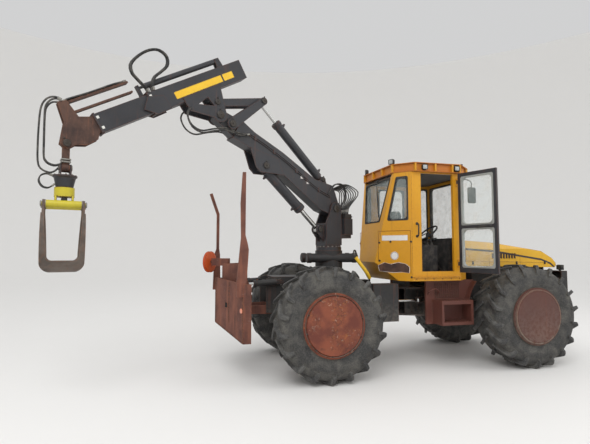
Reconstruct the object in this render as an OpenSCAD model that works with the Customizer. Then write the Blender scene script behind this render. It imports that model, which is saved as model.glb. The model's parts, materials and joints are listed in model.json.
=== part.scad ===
// Forestry skidder with a rear shield and a telescopic timber crane.
// X runs forward, Y to the left, Z up. The machine is drawn with x = 0 over the rear axle
// and y = 0 on its centre plane, and place() then moves it over the middle of its own outline.

/* [Place] */
// Distance of the outline's middle ahead of the rear axle
outline_mid_x = 512.3; // [-3000:0.1:3000]
// Distance of the outline's middle to the left of the centre plane
outline_mid_y = -241.7; // [-1000:0.1:1000]

/* [Wheels] */
// Radius out to the lugs' tips
tyre_r = 820; // [780:1:860]
// Width of a tyre across its sidewalls
tyre_w = 600; // [560:1:640]
// Radius of the rim where the tyre's bead sits
rim_r = 432; // [420:1:440]
// Height of the tread lugs
lug_h = 42; // [30:1:50]
// Distance between the axles
wheelbase = 3427; // [3400:1:3600]
// Distance between the middles of the left and right tyres
track = 2050; // [2040:1:2100]
// Radius of a wheel's stub shaft
stub_r = 60; // [50:1:70]

/* [Chassis] */
// Height of the front frame rails
rail_h = 280; // [240:1:300]
// Distance between the outer faces of the front rails
rail_span = 760; // [720:1:800]
// Thickness of a frame plate
plate_t = 30; // [20:1:40]
// Distance of the steering pivot ahead of the rear axle
pivot_x = 1450; // [1400:1:1500]
// Radius of the steering pivot pin
pivot_r = 45; // [35:1:50]
// Width of the rear frame
rear_w = 560; // [520:1:600]
// Radius of an axle tube
axle_r = 110; // [90:1:125]

/* [Cab] */
// Half width of the cab at the doors
cab_half_w = 800; // [780:1:820]
// Height of the cab's sill above the ground
sill_z = 1375; // [1360:1:1390]
// Height of the top of the cab's walls
cab_top_z = 3150; // [3130:1:3200]
// Thickness of a cab wall
wall_t = 45; // [35:1:55]
// Thickness of the roof
roof_t = 150; // [120:1:180]
// Rear edge of the door opening
door_rear_x = 1690; // [1660:1:1720]
// Front edge of the door opening
door_front_x = 2280; // [2240:1:2300]
// Lower edge of the door opening
door_low_z = 1530; // [1500:1:1560]
// Upper edge of the door opening
door_top_z = 3130; // [3080:1:3140]
// Thickness of a door
door_t = 40; // [30:1:50]
// Thickness of the window panes
pane_t = 6; // [4:1:8]
// Angle by which the right door stands open
door_open = 110; // [90:1:115]

/* [Hood] */
// Half width of the hood
hood_half_w = 450; // [420:1:480]
// Front end of the hood
hood_front_x = 4700; // [4600:1:4800]
// Thickness of the hood's sheet
sheet_t = 12; // [8:1:16]

/* [Crane] */
// Distance of the crane's post ahead of the rear axle
post_x = 380; // [340:1:420]
// Angle of the crane to the right of straight back
slew = 20; // [0:1:30]
// Half width of the main boom
boom_half_w = 110; // [100:1:120]
// Half width of the jib's outer box
jib_half_w = 100; // [90:1:110]
// Clearance between two telescope boxes
slide_gap = 8; // [6:1:10]
// Thickness of a telescope box's wall
box_t = 9; // [8:1:12]
// Angle of the jib below level
jib_drop = 30.5; // [28:0.5:33]
// Radius of the lift cylinder's barrel
lift_r = 80; // [70:1:85]
// Radius of the jib cylinder's barrel
jibcyl_r = 70; // [60:1:75]

/* [Shield] */
// Half width of the shield at its side edges
shield_half_w = 850; // [800:1:880]
// Thickness of the shield's plates
shield_t = 25; // [18:1:30]

/* [Hidden] */
$fn = 64;
fit = 0.05;
gap = 5;
rest_gap = 0.3;
seam = 0.5;

wheel_z = tyre_r;
half_track = track / 2;
stub_end = half_track + 230;
hub_r = 165;
knuckle_in = half_track - 265;

rail_top = 1260;
rail_y = rail_span / 2;
frame_front_x = hood_front_x - 140;
hood_rear_x = 2760;
pivot_low = 760;
pivot_high = 1240;

boom_pin = [-50, 2578];
lift_low = [239, 2221];
lift_high = [1324, 3170];
jib_pin = [2098, 3826];
guide_pin = [1911, 3720];
apex = [1382, 4164];
drag_pin = [2145, 4006];
jibcyl_low = [172, 3061];

shield_pin = [-700, 940];
shield_rod_pin = [-1100, 1345];
shield_barrel_pin = [-540, 1380];

steer_rear = [760, 395];
steer_front = [1840, 395];
steer_z = 1030;
steer_len = norm(steer_front - steer_rear);

hang_local = [2044, 406];
hang_pin = jib_pin + turn(-jib_drop, hang_local);
swing_z = 2848;
grip_turn = 12.7;

// Turns a 2D point by an angle about the origin
function turn(a, p) = [p.x * cos(a) - p.y * sin(a), p.x * sin(a) + p.y * cos(a)];
// Angle of the line from p to q
function heading(p, q) = atan2(q.y - p.y, q.x - p.x);
// Point at a share of the way from p to q
function between(p, q, share) = p + share * (q - p);
// A polygon's edges, moved inward by t, meet at these corners
function side(p, q, t) = let(d = (q - p) / norm(q - p)) [p + t * [-d.y, d.x], d];
function meet(a, b) =
    let(det = a[1].x * b[1].y - a[1].y * b[1].x)
    let(s = ((b[0].x - a[0].x) * b[1].y - (b[0].y - a[0].y) * b[1].x) / det)
    a[0] + s * a[1];
function inset(pts, t) = let(n = len(pts))
    [for (i = [0 : n - 1]) meet(side(pts[(i + n - 1) % n], pts[i], t), side(pts[i], pts[(i + 1) % n], t))];

module place() translate([-outline_mid_x, -outline_mid_y, 0]) children();

// A block between two corners
module block(low, high) translate(low) cube(high - low);

// A 2D outline in X and Z, given a width along Y
module upright(w) rotate([90, 0, 0]) linear_extrude(w, center = true) children();

// The same outline as two plates, from inner to outer distance off the middle
module pair(inner, outer) for (s = [-1, 1])
    translate([0, s * (inner + outer) / 2, 0]) upright(outer - inner) children();

// A bar with round ends of their own radii
module bar(p, q, r1, r2) {
    d = norm(q - p);
    h = heading(p, q);
    a = acos((r1 - r2) / d);
    translate(p) circle(r1);
    translate(q) circle(r2);
    polygon([p + turn(h + a, [r1 * 0.98, 0]), q + turn(h + a, [r2 * 0.98, 0]),
        q + turn(h - a, [r2 * 0.98, 0]), p + turn(h - a, [r1 * 0.98, 0])]);
}

// A round pin along Y
module pin_y(p, r, w) translate([p.x, 0, p.y]) rotate([90, 0, 0]) cylinder(r = r, h = w, center = true);

// Moves a part that is drawn along +X from the origin so that it starts at p and points to q
module along(p, q) translate([p.x, 0, p.y]) rotate([0, -heading(p, q), 0]) children();

// A turned tube along X
module tube_x(r, x0, x1) translate([x0, 0, 0]) rotate([0, 90, 0]) cylinder(r = r, h = x1 - x0);

// Hydraulic barrel along X with its eye at the origin
module barrel(len, r, rod_r, eye_r, eye_w, pin_r) {
    difference() {
        union() {
            rotate([90, 0, 0]) cylinder(r = eye_r, h = eye_w, center = true);
            block([0, -eye_w * 0.45, -eye_r * 0.7], [eye_r + 31, eye_w * 0.45, eye_r * 0.7]);
            tube_x(r, eye_r + 30, len);
            tube_x(r + 8, len - r, len);
        }
        rotate([90, 0, 0]) cylinder(r = pin_r + fit, h = 2 * eye_w, center = true);
        tube_x(rod_r + 12, eye_r + 50, len - 40);
        tube_x(rod_r + fit, eye_r + 50, len + 1);
    }
}

// Piston rod along X with its eye at the far end, which has no bore because the linkage is open there
module piston_rod(x0, x1, rod_r, eye_r, eye_w) {
    tube_x(rod_r, x0, x1 - eye_r * 0.6);
    translate([x1, 0, 0]) rotate([90, 0, 0]) cylinder(r = eye_r, h = eye_w, center = true);
}

module crane_plane() translate([post_x, 0, 0]) rotate([0, 0, 180 + slew]) children();
module jib_plane() translate([jib_pin.x, 0, jib_pin.y]) rotate([0, jib_drop, 0]) children();
module at_grapple() translate([hang_pin.x, 0, 0]) rotate([0, 0, grip_turn - 180 - slew]) children();

// Chassis

module neck_plate(z) translate([0, 0, z]) linear_extrude(plate_t) union() {
    translate([pivot_x, 0]) circle(150);
    polygon([[pivot_x - 60, -120], [1900, -rail_y], [1980, -rail_y], [1980, rail_y], [1900, rail_y],
        [pivot_x - 60, 120]]);
}

module front_frame() color("#26282b") place() {
    for (s = [-1, 1]) {
        block([1950, s * (rail_y - plate_t / 2) - plate_t / 2, rail_top - rail_h],
            [frame_front_x, s * (rail_y - plate_t / 2) + plate_t / 2, rail_top]);
        block([1700, s * 190 - 15, pivot_low + plate_t], [1980, s * 190 + 15, pivot_high - plate_t]);
    }
    neck_plate(pivot_low);
    neck_plate(pivot_high - plate_t);
    translate([pivot_x, 0, pivot_low - 20]) cylinder(r = pivot_r, h = pivot_high - pivot_low + 40);
    for (x = [1950, 2850, frame_front_x - plate_t])
        block([x, -rail_y + 1, rail_top - rail_h], [x + plate_t, rail_y - 1, rail_top]);
    block([1950, -rail_y + 1, pivot_low], [1980, rail_y - 1, rail_top - rail_h + 1]);
    for (s = [-1, 1])
        block([wheelbase - 160, s * 230 - 20, wheel_z + axle_r - 20],
            [wheelbase + 160, s * 230 + 20, rail_top - rail_h + 1]);
    block([wheelbase - 160, 1 - rail_y, rail_top - rail_h],
        [wheelbase + 160, rail_y - 1, rail_top - rail_h + 40]);
    for (s = [-1, 1])
        for (z = [steer_z - 50, steer_z + 30])
            translate([0, 0, z]) linear_extrude(20)
                bar([steer_front.x, s * steer_front.y], [steer_front.x + 125, s * (rail_y - 35)], 45, 50);
    block([1700, -240, pivot_high - 1], [1780, 240, sill_z - rest_gap]);
    block([2450, -rail_y, rail_top - 1], [2530, rail_y, sill_z - rest_gap]);
    block([hood_rear_x + 5, -300, rail_top - 1],
        [hood_rear_x + 35, 300, hood_low_z(hood_rear_x + 35) - rest_gap]);
    block([hood_rear_x + 4, -rail_y + 1, rail_top - 60], [hood_rear_x + 36, rail_y - 1, rail_top]);
    block([frame_front_x - plate_t, -300, rail_top - 1],
        [frame_front_x, 300, hood_low_z(frame_front_x) - rest_gap]);
}

module axle() {
    for (s = [-1, 1]) {
        translate([0, 0, wheel_z]) rotate([-90 * s, 0, 0]) cylinder(r = axle_r, h = knuckle_in - 40);
        translate([0, s * (knuckle_in - 120), wheel_z]) rotate([-90 * s, 0, 0]) cylinder(r = hub_r, h = 120);
        translate([0, s * (knuckle_in - 1), wheel_z]) rotate([-90 * s, 0, 0])
            cylinder(r = stub_r, h = stub_end - knuckle_in);
    }
    translate([0, 0, wheel_z]) sphere(200);
}

module front_axle() color("#2b2c2e") place() translate([wheelbase, 0, 0]) difference() {
    axle();
    for (s = [-1, 1])
        block([-400, s * 230 - 26, wheel_z + axle_r - 20 - rest_gap], [400, s * 230 + 26, 2000]);
    block([-400, -400, rail_top - rail_h - rest_gap], [400, 400, 2000]);
}

module rear_axle() color("#2b2c2e") place() difference() {
    axle();
    block([-400, -1000, wheel_z + 170], [400, 1000, 2000]);
    for (s = [-1, 1])
        block([-400, s * 230 - 26, wheel_z + axle_r - 20 - rest_gap], [400, s * 230 + 26, 2000]);
}

module engine() color("#3c3d3f") place() block([hood_rear_x + 240, -270, rail_top - rail_h + 40 + rest_gap],
    [hood_front_x - 550, 270, 1560]);

hood_side = [[hood_rear_x, 1600], [hood_front_x - 40, 1560], [hood_front_x, 1600], [hood_front_x - 10, 1640],
    [hood_front_x - 90, 1730], [hood_front_x - 330, 1860], [hood_rear_x + 590, 2010], [hood_rear_x, 2050]];
// Height of the hood's lower edge
function hood_low_z(x) = 1600 - 40 * (x - hood_rear_x) / (hood_front_x - 40 - hood_rear_x);
module hood_volume(t) intersection() {
    upright(2 * (hood_half_w - t)) polygon(inset(hood_side, t));
    translate([2000, 0, 0]) rotate([90, 0, 90]) linear_extrude(3000) polygon(inset([[-hood_half_w, 1500],
        [hood_half_w, 1500], [hood_half_w, 1900], [hood_half_w - 110, 2120], [-hood_half_w + 110, 2120],
        [-hood_half_w, 1900]], t));
}
module hood() color("#e2b01c") place() difference() {
    hood_volume(0);
    hood_volume(sheet_t);
    block([hood_rear_x + 40, sheet_t - hood_half_w, 1500],
        [hood_front_x - 200, hood_half_w - sheet_t, 1700]);
}

tow_eye = [hood_front_x, 790];
nose_x = hood_front_x + 70;
module nose_guard() color("#232527") place() {
    block([frame_front_x + rest_gap, -620, 1080], [nose_x - 130, 620, 1120]);
    difference() {
        block([nose_x - 130, -620, 860], [nose_x, 620, 1500]);
        block([nose_x - 131, -600, 880], [nose_x - 25, 600, 1480]);
        for (s = [-1, 1])
            for (z = [1000, 1360])
                translate([0, s * 450, z]) tube_x(13, nose_x - 70, nose_x + 30);
    }
    upright(40) difference() {
        union() {
            bar([tow_eye.x, 830], tow_eye, 60, 60);
            translate([nose_x - 129, 830]) square([104, 60]);
        }
        translate(tow_eye) circle(26);
    }
    for (s = [-1, 1])
        block([frame_front_x + rest_gap, s * 365 - 15, 980], [nose_x - 130, s * 365 + 15, 1260]);
}

fender_rear_x = wheelbase - 1577;
fender_front_x = wheelbase - 577;
step_rear_x = fender_rear_x + 120;
step_front_x = fender_front_x - 300;
tank_half_w = 105;
tank_y = rail_y + rest_gap + tank_half_w;
fender_y = tank_y + tank_half_w + rest_gap;
module fuel_tank() color("#1f2022") place() for (s = [-1, 1]) {
    block([2010, s * tank_y - tank_half_w, 720], [2640, s * tank_y + tank_half_w, 1230]);
    translate([2420, s * tank_y, 1229]) cylinder(r = 45, h = 45);
}

module steps() color("#6b3526") place() for (s = [-1, 1]) {
    difference() {
        block([fender_rear_x, min(s * fender_y, s * 630), 660],
            [fender_front_x, max(s * fender_y, s * 630), sill_z - rest_gap]);
        translate([wheelbase, 0, 0]) pin_y([0, wheel_z], tyre_r + 40, 3000);
    }
    difference() {
        block([step_rear_x, min(s * 629, s * 900), 670], [step_front_x, max(s * 629, s * 900), 1060]);
        block([step_rear_x + 40, min(s * 660, s * 901), 720],
            [step_front_x - 40, max(s * 660, s * 901), 1000]);
    }
}

// Cab

cab_rear_low = [1084, 1670];
cab_rear_top = [1319, cab_top_z];
cab_plan = [[1000, -227], [1519, -cab_half_w], [2400, -cab_half_w], [2700, -520], [2700, 520],
    [2400, cab_half_w], [1519, cab_half_w], [1000, 227]];
cab_side = [cab_rear_low, [1360, sill_z], [2700, sill_z], [2700, cab_top_z], cab_rear_top];

module cab_volume(t) intersection() {
    translate([0, 0, sill_z]) linear_extrude(cab_top_z - sill_z) polygon(inset(cab_plan, t));
    upright(2000) polygon(inset(cab_side, t));
}

// Openings for windows, cut through a wall
module window_holes() {
    translate([900, 0, 0]) rotate([90, 0, 90]) linear_extrude(480)
        polygon([[-290, 2360], [290, 2360], [490, 3080], [-490, 3080]]);
    translate([2600, 0, 0]) rotate([90, 0, 90]) linear_extrude(300)
        polygon([[-470, 2080], [470, 2080], [470, 3070], [-470, 3070]]);
    for (s = [0, 1]) mirror([0, s, 0]) {
        translate([1519, -cab_half_w, 0]) rotate([0, 0, 132.2]) translate([0, 150, 0])
            upright(400) polygon([[70, 2370], [410, 2370], [250, 3070], [70, 3070]]);
        translate([2400, -cab_half_w, 0]) rotate([0, 0, 43]) translate([0, 150, 0])
            upright(500) polygon([[70, 2080], [345, 2080], [345, 3070], [70, 3070]]);
    }
}

module cab_shell() color("#e3ad17") place() {
    cab_walls();
    for (s = [-1, 1])
        for (z = hinge_zs)
            for (dz = [30 + rest_gap, -60 - rest_gap])
                translate([hinge.x, s * hinge.y, z + dz]) {
                    cylinder(r = 14, h = 30);
                    block([-8, min(0, s * 26), 0], [8, max(0, s * 26), 30]);
                }
}

module cab_walls() difference() {
    cab_volume(0);
    difference() {
        union() {
            cab_volume(wall_t);
            translate([0, 0, cab_top_z - wall_t - 10]) linear_extrude(200) polygon(inset(cab_plan, wall_t));
        }
        block([0, -2000, 0], [3000, 2000, sill_z + wall_t]);
    }
    window_holes();
    for (s = [-1, 1])
        block([door_rear_x, min(s * 700, s * 900), door_low_z],
            [door_front_x, max(s * 700, s * 900), door_top_z]);
}

module cab_roof() color("#e3ad17") place() translate([0, 0, cab_top_z]) linear_extrude(roof_t)
    polygon([[1290, -560], [1560, -850], [2420, -850], [2760, -560], [2760, 560], [2420, 850], [1560, 850],
        [1290, 560]]);

module cab_glass() color("#8fa3a8", 0.5) place() intersection() {
    window_holes();
    difference() {
        cab_volume(wall_t / 2 - pane_t / 2);
        cab_volume(wall_t / 2 + pane_t / 2);
    }
}

module seat() color("#26272a") place() {
    block([1750, -200, sill_z + wall_t + rest_gap], [2130, 200, 1760]);
    block([1700, -250, 1760], [2200, 250, 1900]);
    translate([1760, 0, 1890]) rotate([0, -8, 0]) block([-130, -240, 0], [0, 240, 680]);
}

module controls() color("#1b1c1e") place() {
    block([2420, -420, sill_z + wall_t + rest_gap], [2640, 420, 2060]);
    translate([2460, 0, 2000]) rotate([0, -40, 0]) {
        cylinder(r = 25, h = 260);
        translate([0, 0, 250]) rotate_extrude() translate([190, 0]) circle(15);
        for (a = [0, 120, 240]) rotate([0, 0, a]) block([0, -12, 244], [185, 12, 256]);
    }
    for (s = [-1, 1])
        block([1720, s * 360 - 90, sill_z + wall_t + rest_gap], [2200, s * 360 + 90, 1960]);
}

// Doors, drawn closed on the right side and then swung on their hinge

hinge = [2355, -(cab_half_w + door_t / 2 + gap)];
leaf_rear_x = door_rear_x - 30;
leaf_front_x = door_front_x + 50;
leaf_low_z = door_low_z - 20;
leaf_top_z = door_top_z + 10;
leaf_y = -(cab_half_w + gap);
bar_z = 2250;
hinge_zs = [1650, 3000];

module panes() {
    block([leaf_rear_x + 60, leaf_y - door_t, bar_z + 35], [leaf_front_x - 60, leaf_y, leaf_top_z - 70]);
    block([leaf_rear_x + 60, leaf_y - door_t, leaf_low_z + 90], [leaf_front_x - 60, leaf_y, bar_z - 35]);
}

module leaf() {
    difference() {
        block([leaf_rear_x, leaf_y - door_t, leaf_low_z], [leaf_front_x, leaf_y, leaf_top_z]);
        panes();
    }
    for (z = hinge_zs) {
        translate([hinge.x, hinge.y, z - 30]) cylinder(r = 14, h = 60);
        block([leaf_front_x - 1, hinge.y - 8, z - 25], [hinge.x, hinge.y + 8, z + 25]);
    }
}

module swung(a) translate([hinge.x, hinge.y, 0]) rotate([0, 0, a])
    translate([-hinge.x, -hinge.y, 0]) children();

module leaf_glass() intersection() {
    panes();
    block([0, leaf_y - door_t / 2 - pane_t / 2, 0], [4000, leaf_y - door_t / 2 + pane_t / 2, 4000]);
}

module door_right() color("#1d1e20") place() swung(door_open) leaf();
module glass_right() color("#8fa3a8", 0.5) place() swung(door_open) leaf_glass();
module door_left() color("#e3ad17") place() mirror([0, 1, 0]) leaf();
module glass_left() color("#8fa3a8", 0.5) place() mirror([0, 1, 0]) leaf_glass();

// Rear frame

rear_side = [[-760, 890], [-760, 1420], [-700, 1450], [620, 1450], [900, 1200], [900, 870],
    [560, 870], [330, 1020], [-330, 1020], [-480, 870]];

module rear_frame() color("#26282b") place() {
    difference() {
        union() {
            pair(rear_w / 2 - plate_t, rear_w / 2) polygon(rear_side);
            block([-640, 1 - rear_w / 2, 1420], [620, rear_w / 2 - 1, 1450]);
            block([870, 1 - rear_w / 2, 870], [900, rear_w / 2 - 1, 1200]);
            block([899, -140, pivot_low + 60], [pivot_x - 60, 140, pivot_high - 60]);
            translate([pivot_x, 0, pivot_low + plate_t + gap])
                cylinder(r = 140, h = pivot_high - pivot_low - 2 * plate_t - 2 * gap);
        }
        translate([pivot_x, 0, 0]) cylinder(r = pivot_r + fit, h = 3000);
    }
    block([-600, -190, 1040], [-250, 190, 1421]);
    for (s = [-1, 1]) {
        block([-600, min(s * 189, s * 251), 1200], [-250, max(s * 189, s * 251), 1240]);
        block([-200, s * 230 - 25, wheel_z + axle_r - 20], [200, s * 230 + 25, 1200]);
        translate([0, s * 225, 0]) pin_y(shield_pin, 30, 60);
        translate([0, s * 325, 0]) pin_y(shield_barrel_pin, 20, 100);
        for (z = [steer_z - 50, steer_z + 30])
            translate([0, 0, z]) linear_extrude(20)
                bar([steer_rear.x - 20, s * (rear_w / 2 - 20)], [steer_rear.x, s * steer_rear.y], 60, 45);
        translate([steer_rear.x, s * steer_rear.y, steer_z - 55]) cylinder(r = 20, h = 110);
        difference() {
            block([900, min(s * 440, s * 650), 1120], [1340, max(s * 440, s * 650), 1330]);
            block([910, min(s * 450, s * 640), 1130], [1330, max(s * 450, s * 640), 1320]);
        }
        block([900, min(s * 638, s * 650), 730], [1340, max(s * 638, s * 650), 1121]);
        block([840, min(s * 279, s * 640), 1120], [901, max(s * 279, s * 640), 1150]);
    }
}

module slew_base() color("#33312f") place() {
    block([post_x - 300, -270, 1450 + rest_gap], [post_x + 300, 270, 1500]);
    translate([post_x, 0, 1499]) cylinder(r = 230, h = 370);
    for (s = [-1, 1])
        translate([post_x, s * 165, 1745]) rotate([0, 90, 0]) cylinder(r = 75, h = 860, center = true);
}

// Steering cylinders

module steer_at(s) place() mirror([0, s > 0 ? 1 : 0, 0]) translate([steer_rear.x, -steer_rear.y, steer_z])
    rotate([90, 0, 0]) children();
module steer_barrel(s) color("#2a2b2d") steer_at(s) barrel(690, 50, 23, 45, 50, 20);
module steer_rod(s) color("silver") steer_at(s) piston_rod(360, steer_len, 23, 40, 50);

// Wheels

// Half of the tyre's section: radius and distance from its middle plane
tyre_flank = [[rim_r, tyre_w * 0.4], [rim_r + 40, tyre_w * 0.45], [590, tyre_w / 2], [690, tyre_w / 2],
    [tyre_r - lug_h, tyre_w * 0.47], [tyre_r, tyre_w * 0.42]];
module tyre_body() rotate([90, 0, 0]) rotate_extrude() polygon(concat(tyre_flank,
    [for (i = [len(tyre_flank) - 1 : -1 : 0]) [tyre_flank[i].x, -tyre_flank[i].y]]));

// Disc and hub face outboard, which is -Y here
module rim_body() rotate([90, 0, 0]) difference() {
    union() {
        rotate_extrude() polygon([[rim_r - 20, -tyre_w * 0.4], [rim_r, -tyre_w * 0.4], [rim_r, tyre_w * 0.4],
            [rim_r + 22, tyre_w * 0.45], [rim_r + 22, tyre_w * 0.48], [rim_r - 6, tyre_w * 0.48],
            [rim_r - 30, tyre_w * 0.53], [0, tyre_w * 0.53], [0, tyre_w * 0.49], [rim_r - 45, tyre_w * 0.49],
            [rim_r - 20, tyre_w * 0.40]]);
        translate([0, 0, -258]) cylinder(r = hub_r - 20, h = 258 + tyre_w * 0.5);
    }
    translate([0, 0, -300]) cylinder(r = stub_r + fit, h = 300 + 240);
}

// s is the side: -1 is right
module at_wheel(x, s) place() translate([x, s * half_track, wheel_z])
    mirror([0, s > 0 ? 1 : 0, 0]) children();
module tyre(x, s) color("#2b2b2b") at_wheel(x, s) tyre_body();
module rim(x, s) color("#6d3a28") at_wheel(x, s) rim_body();

// Rear shield

shield_cyl_y = 330;
// Rear faces of the shield's plates at its middle and its side edges
shield_mid_x = -1520;
shield_side_x = -1205;
upper_plate_on = 97;
// Rear face of the shield at a distance off the middle
function vee_x(y) = shield_mid_x + (shield_side_x - shield_mid_x) * y / shield_half_w;
function vee(shift, half, t) = [[shield_side_x + shift, -half], [shield_mid_x + shift, 0],
    [shield_side_x + shift, half], [shield_side_x + shift + t, half], [shield_mid_x + shift + t * 1.07, 0],
    [shield_side_x + shift + t, -half]];
shield_face = [[-shield_half_w, 540], [0, 740], [shield_half_w, 540], [shield_half_w, 1380], [0, 1440],
    [-shield_half_w, 1380]];
// Outlines in X and Z of the two stakes
stake_near = [[-1300, 1200], [-1173, 1200], [-1131, 1877], [-1148, 1966], [-1181, 2086], [-1178, 3001],
    [-1223, 3001], [-1250, 2556], [-1240, 2053], [-1267, 1773], [-1300, 1415]];
stake_far = [[-1520, 1200], [-1390, 1200], [-1405, 1800], [-1420, 1900], [-1420, 2500], [-1545, 2860],
    [-1590, 2845], [-1466, 2490], [-1466, 1900], [-1500, 1800]];
stake_near_y = 815;
stake_far_y = 600;
pulley_at = [-1595, 350, 1680];
pulley_turn = -37;

module shield() color("#7a4130") place() {
    intersection() {
        translate([0, 0, 520]) linear_extrude(940) union() {
            polygon(vee(0, shield_half_w, shield_t));
            for (s = [-1, 1])
                translate([shield_side_x, s * (shield_half_w - shield_t / 2) - shield_t / 2])
                    square([115, shield_t]);
        }
        translate([-2000, 0, 0]) rotate([90, 0, 90]) linear_extrude(1000) polygon(shield_face);
    }
    translate([0, 0, 1380]) linear_extrude(280) polygon(vee(upper_plate_on, 420, shield_t));
    for (s = [-1, 1]) {
        translate([0, s * 225, 0]) upright(40) difference() {
            union() {
                bar(shield_pin, [-1120, 940], 70, 60);
                polygon([[-1120, 1000], [-1120, 880], [shield_mid_x + 95, 800], [shield_mid_x + 95, 1400],
                    [-1330, 1400]]);
            }
            translate(shield_pin) circle(30 + fit);
        }
        for (o = [-39, 39])
            translate([0, s * (shield_cyl_y + o), 0]) upright(14) union() {
                translate(shield_rod_pin) circle(55);
                polygon([[vee_x(shield_cyl_y + o) + 14, 1200], [shield_rod_pin.x - 20, 1292],
                    [shield_rod_pin.x, 1400], [vee_x(shield_cyl_y + o) + 14, 1400]]);
            }
    }
    translate([0, -stake_near_y, 0]) upright(60) polygon(stake_near);
    translate([0, stake_far_y, 0]) upright(60) polygon(stake_far);
    block([-1300, -stake_near_y - 29, 1200], [-1150, -stake_near_y + 29, 1360]);
    block([-1500, stake_far_y - 30, 1200], [vee_x(stake_far_y) + 15, stake_far_y + 30, 1370]);
    translate(pulley_at) rotate([0, 0, pulley_turn]) {
        rotate([0, 90, 0]) cylinder(r = 25, h = 150);
        block([60, -40, -60], [365, 40, 60]);
    }
}
module pulley() color("#d4601e") place() translate(pulley_at) rotate([0, 0, pulley_turn]) rotate([0, 90, 0])
    difference() {
        rotate_extrude() polygon([[0, -30], [150, -30], [175, -22], [150, 0], [175, 22], [150, 30], [0, 30]]);
        translate([0, 0, -1]) cylinder(r = 25 + fit, h = 100);
    }

shield_cyl_len = norm(shield_rod_pin - shield_barrel_pin);
module shield_barrels() color("#2a2b2d") place() for (s = [-1, 1])
    translate([0, s * shield_cyl_y, 0]) along(shield_barrel_pin, shield_rod_pin)
        barrel(430, 45, 24, 40, 60, 20);
module shield_rods() color("silver") place() for (s = [-1, 1])
    translate([0, s * shield_cyl_y, 0]) along(shield_barrel_pin, shield_rod_pin)
        piston_rod(120, shield_cyl_len, 24, 45, 50);

// Crane

module crane_post() color("#232427") place() crane_plane() {
    translate([0, 0, 1869 + rest_gap]) cylinder(r = 215, h = 60);
    block([-150, -140, 1900], [165, 140, 2330]);
    pair(boom_half_w + 10, boom_half_w + 36) union() {
        polygon([[-170, 1960], [170, 1960], [165, 2330], [70, 2560], [-160, 2600], [-170, 2330]]);
        translate(boom_pin) circle(115);
    }
    pair(46, 76) union() {
        polygon([[160, 2010], [160, 2290], [250, 2290], [300, 2180]]);
        translate(lift_low) circle(72);
    }
    block([-150, -boom_half_w - 30, 1960], [160, boom_half_w + 30, 2320]);
    pin_y(boom_pin, 50, 2 * boom_half_w + 90);
    for (s = [-1, 1])
        translate([0, s * 76, 0]) pin_y(lift_low, 36, 24);
    block([-380, -150, 2080], [-149, 150, 2140]);
    block([-400, -170, 2139], [-220, 170, 2420]);
}

boom_top = [[1761, 3814], [1527, 3656], [1014, 3412], [374, 3047], [-6, 2971], [-120, 2700]];
boom_low = [[240, 2543], [1013, 3070], [1350, 3325], [1600, 3410], [1892, 3526]];

module main_boom() color("#232427") place() crane_plane() difference() {
    union() {
        upright(2 * boom_half_w) union() {
            polygon(concat(boom_top, [[-50, 2448]], boom_low));
            translate(boom_pin) circle(130);
        }
        upright(160) bar([1800, 3665], jib_pin, 150, 95);
        pair(boom_half_w - 18, boom_half_w + 7) union() {
            polygon([[1000, 3050], [1190, 3060], [1422, 3060], [1500, 3137], [1565, 3327], [1600, 3420],
                [1100, 3300]]);
            translate(lift_high) circle(75);
        }
        pair(50, 72) union() {
            translate(jibcyl_low) circle(55);
            polygon([[60, 2900], [jibcyl_low.x - 50, jibcyl_low.y], [jibcyl_low.x + 50, jibcyl_low.y],
                [420, 3000]]);
        }
        pin_y(lift_high, 35, 2 * boom_half_w + 30);
        pin_y(jibcyl_low, 25, 170);
        pin_y(guide_pin, 35, 290);
    }
    pin_y(boom_pin, 50 + fit, 400);
    pin_y(jib_pin, 40 + fit, 400);
}

lift_len = norm(lift_low - lift_high);
module lift_barrel() color("#232427") place() crane_plane()
    along(lift_high, lift_low) barrel(960, lift_r, 38, 60, 2 * boom_half_w - 46, 35);
module lift_rod() color("silver") place() crane_plane()
    along(lift_high, lift_low) piston_rod(600, lift_len, 38, 62, 80);

jibcyl_len = norm(apex - jibcyl_low);
module jib_barrel() color("#232427") place() crane_plane()
    along(jibcyl_low, apex) barrel(1240, jibcyl_r, 28, 50, 88, 25);
module jib_rod() color("silver") place() crane_plane()
    along(jibcyl_low, apex) piston_rod(800, jibcyl_len, 28, 48, 76);

module guide_link() color("#232427") place() crane_plane() {
    difference() {
        pair(boom_half_w + 10, boom_half_w + 28) bar(guide_pin, apex, 80, 58);
        pin_y(guide_pin, 35 + fit, 400);
    }
    pin_y(between(guide_pin, apex, 0.5), 35, 2 * boom_half_w + 22);
    for (s = [-1, 1])
        translate([0, s * 124, 0]) pin_y(apex, 32, 44);
}

module drag_link() color("#232427") place() crane_plane() {
    difference() {
        pair(66, 84) bar(drag_pin, apex, 55, 62);
        pin_y(drag_pin, 28 + fit, 400);
    }
    pin_y(between(drag_pin, apex, 0.45), 32, 134);
}

jib_low = 345;
jib_high = 625;
// Wear pads inside the mouth of a telescope box, which the next box slides on
module slide_pads(half_w, zs, x) {
    block([x - 60, 20 - half_w, zs[0] - 1], [x, half_w - 20, zs[0] + slide_gap - rest_gap]);
    block([x - 60, 20 - half_w, zs[1] - slide_gap + rest_gap], [x, half_w - 20, zs[1] + 1]);
}

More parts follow.
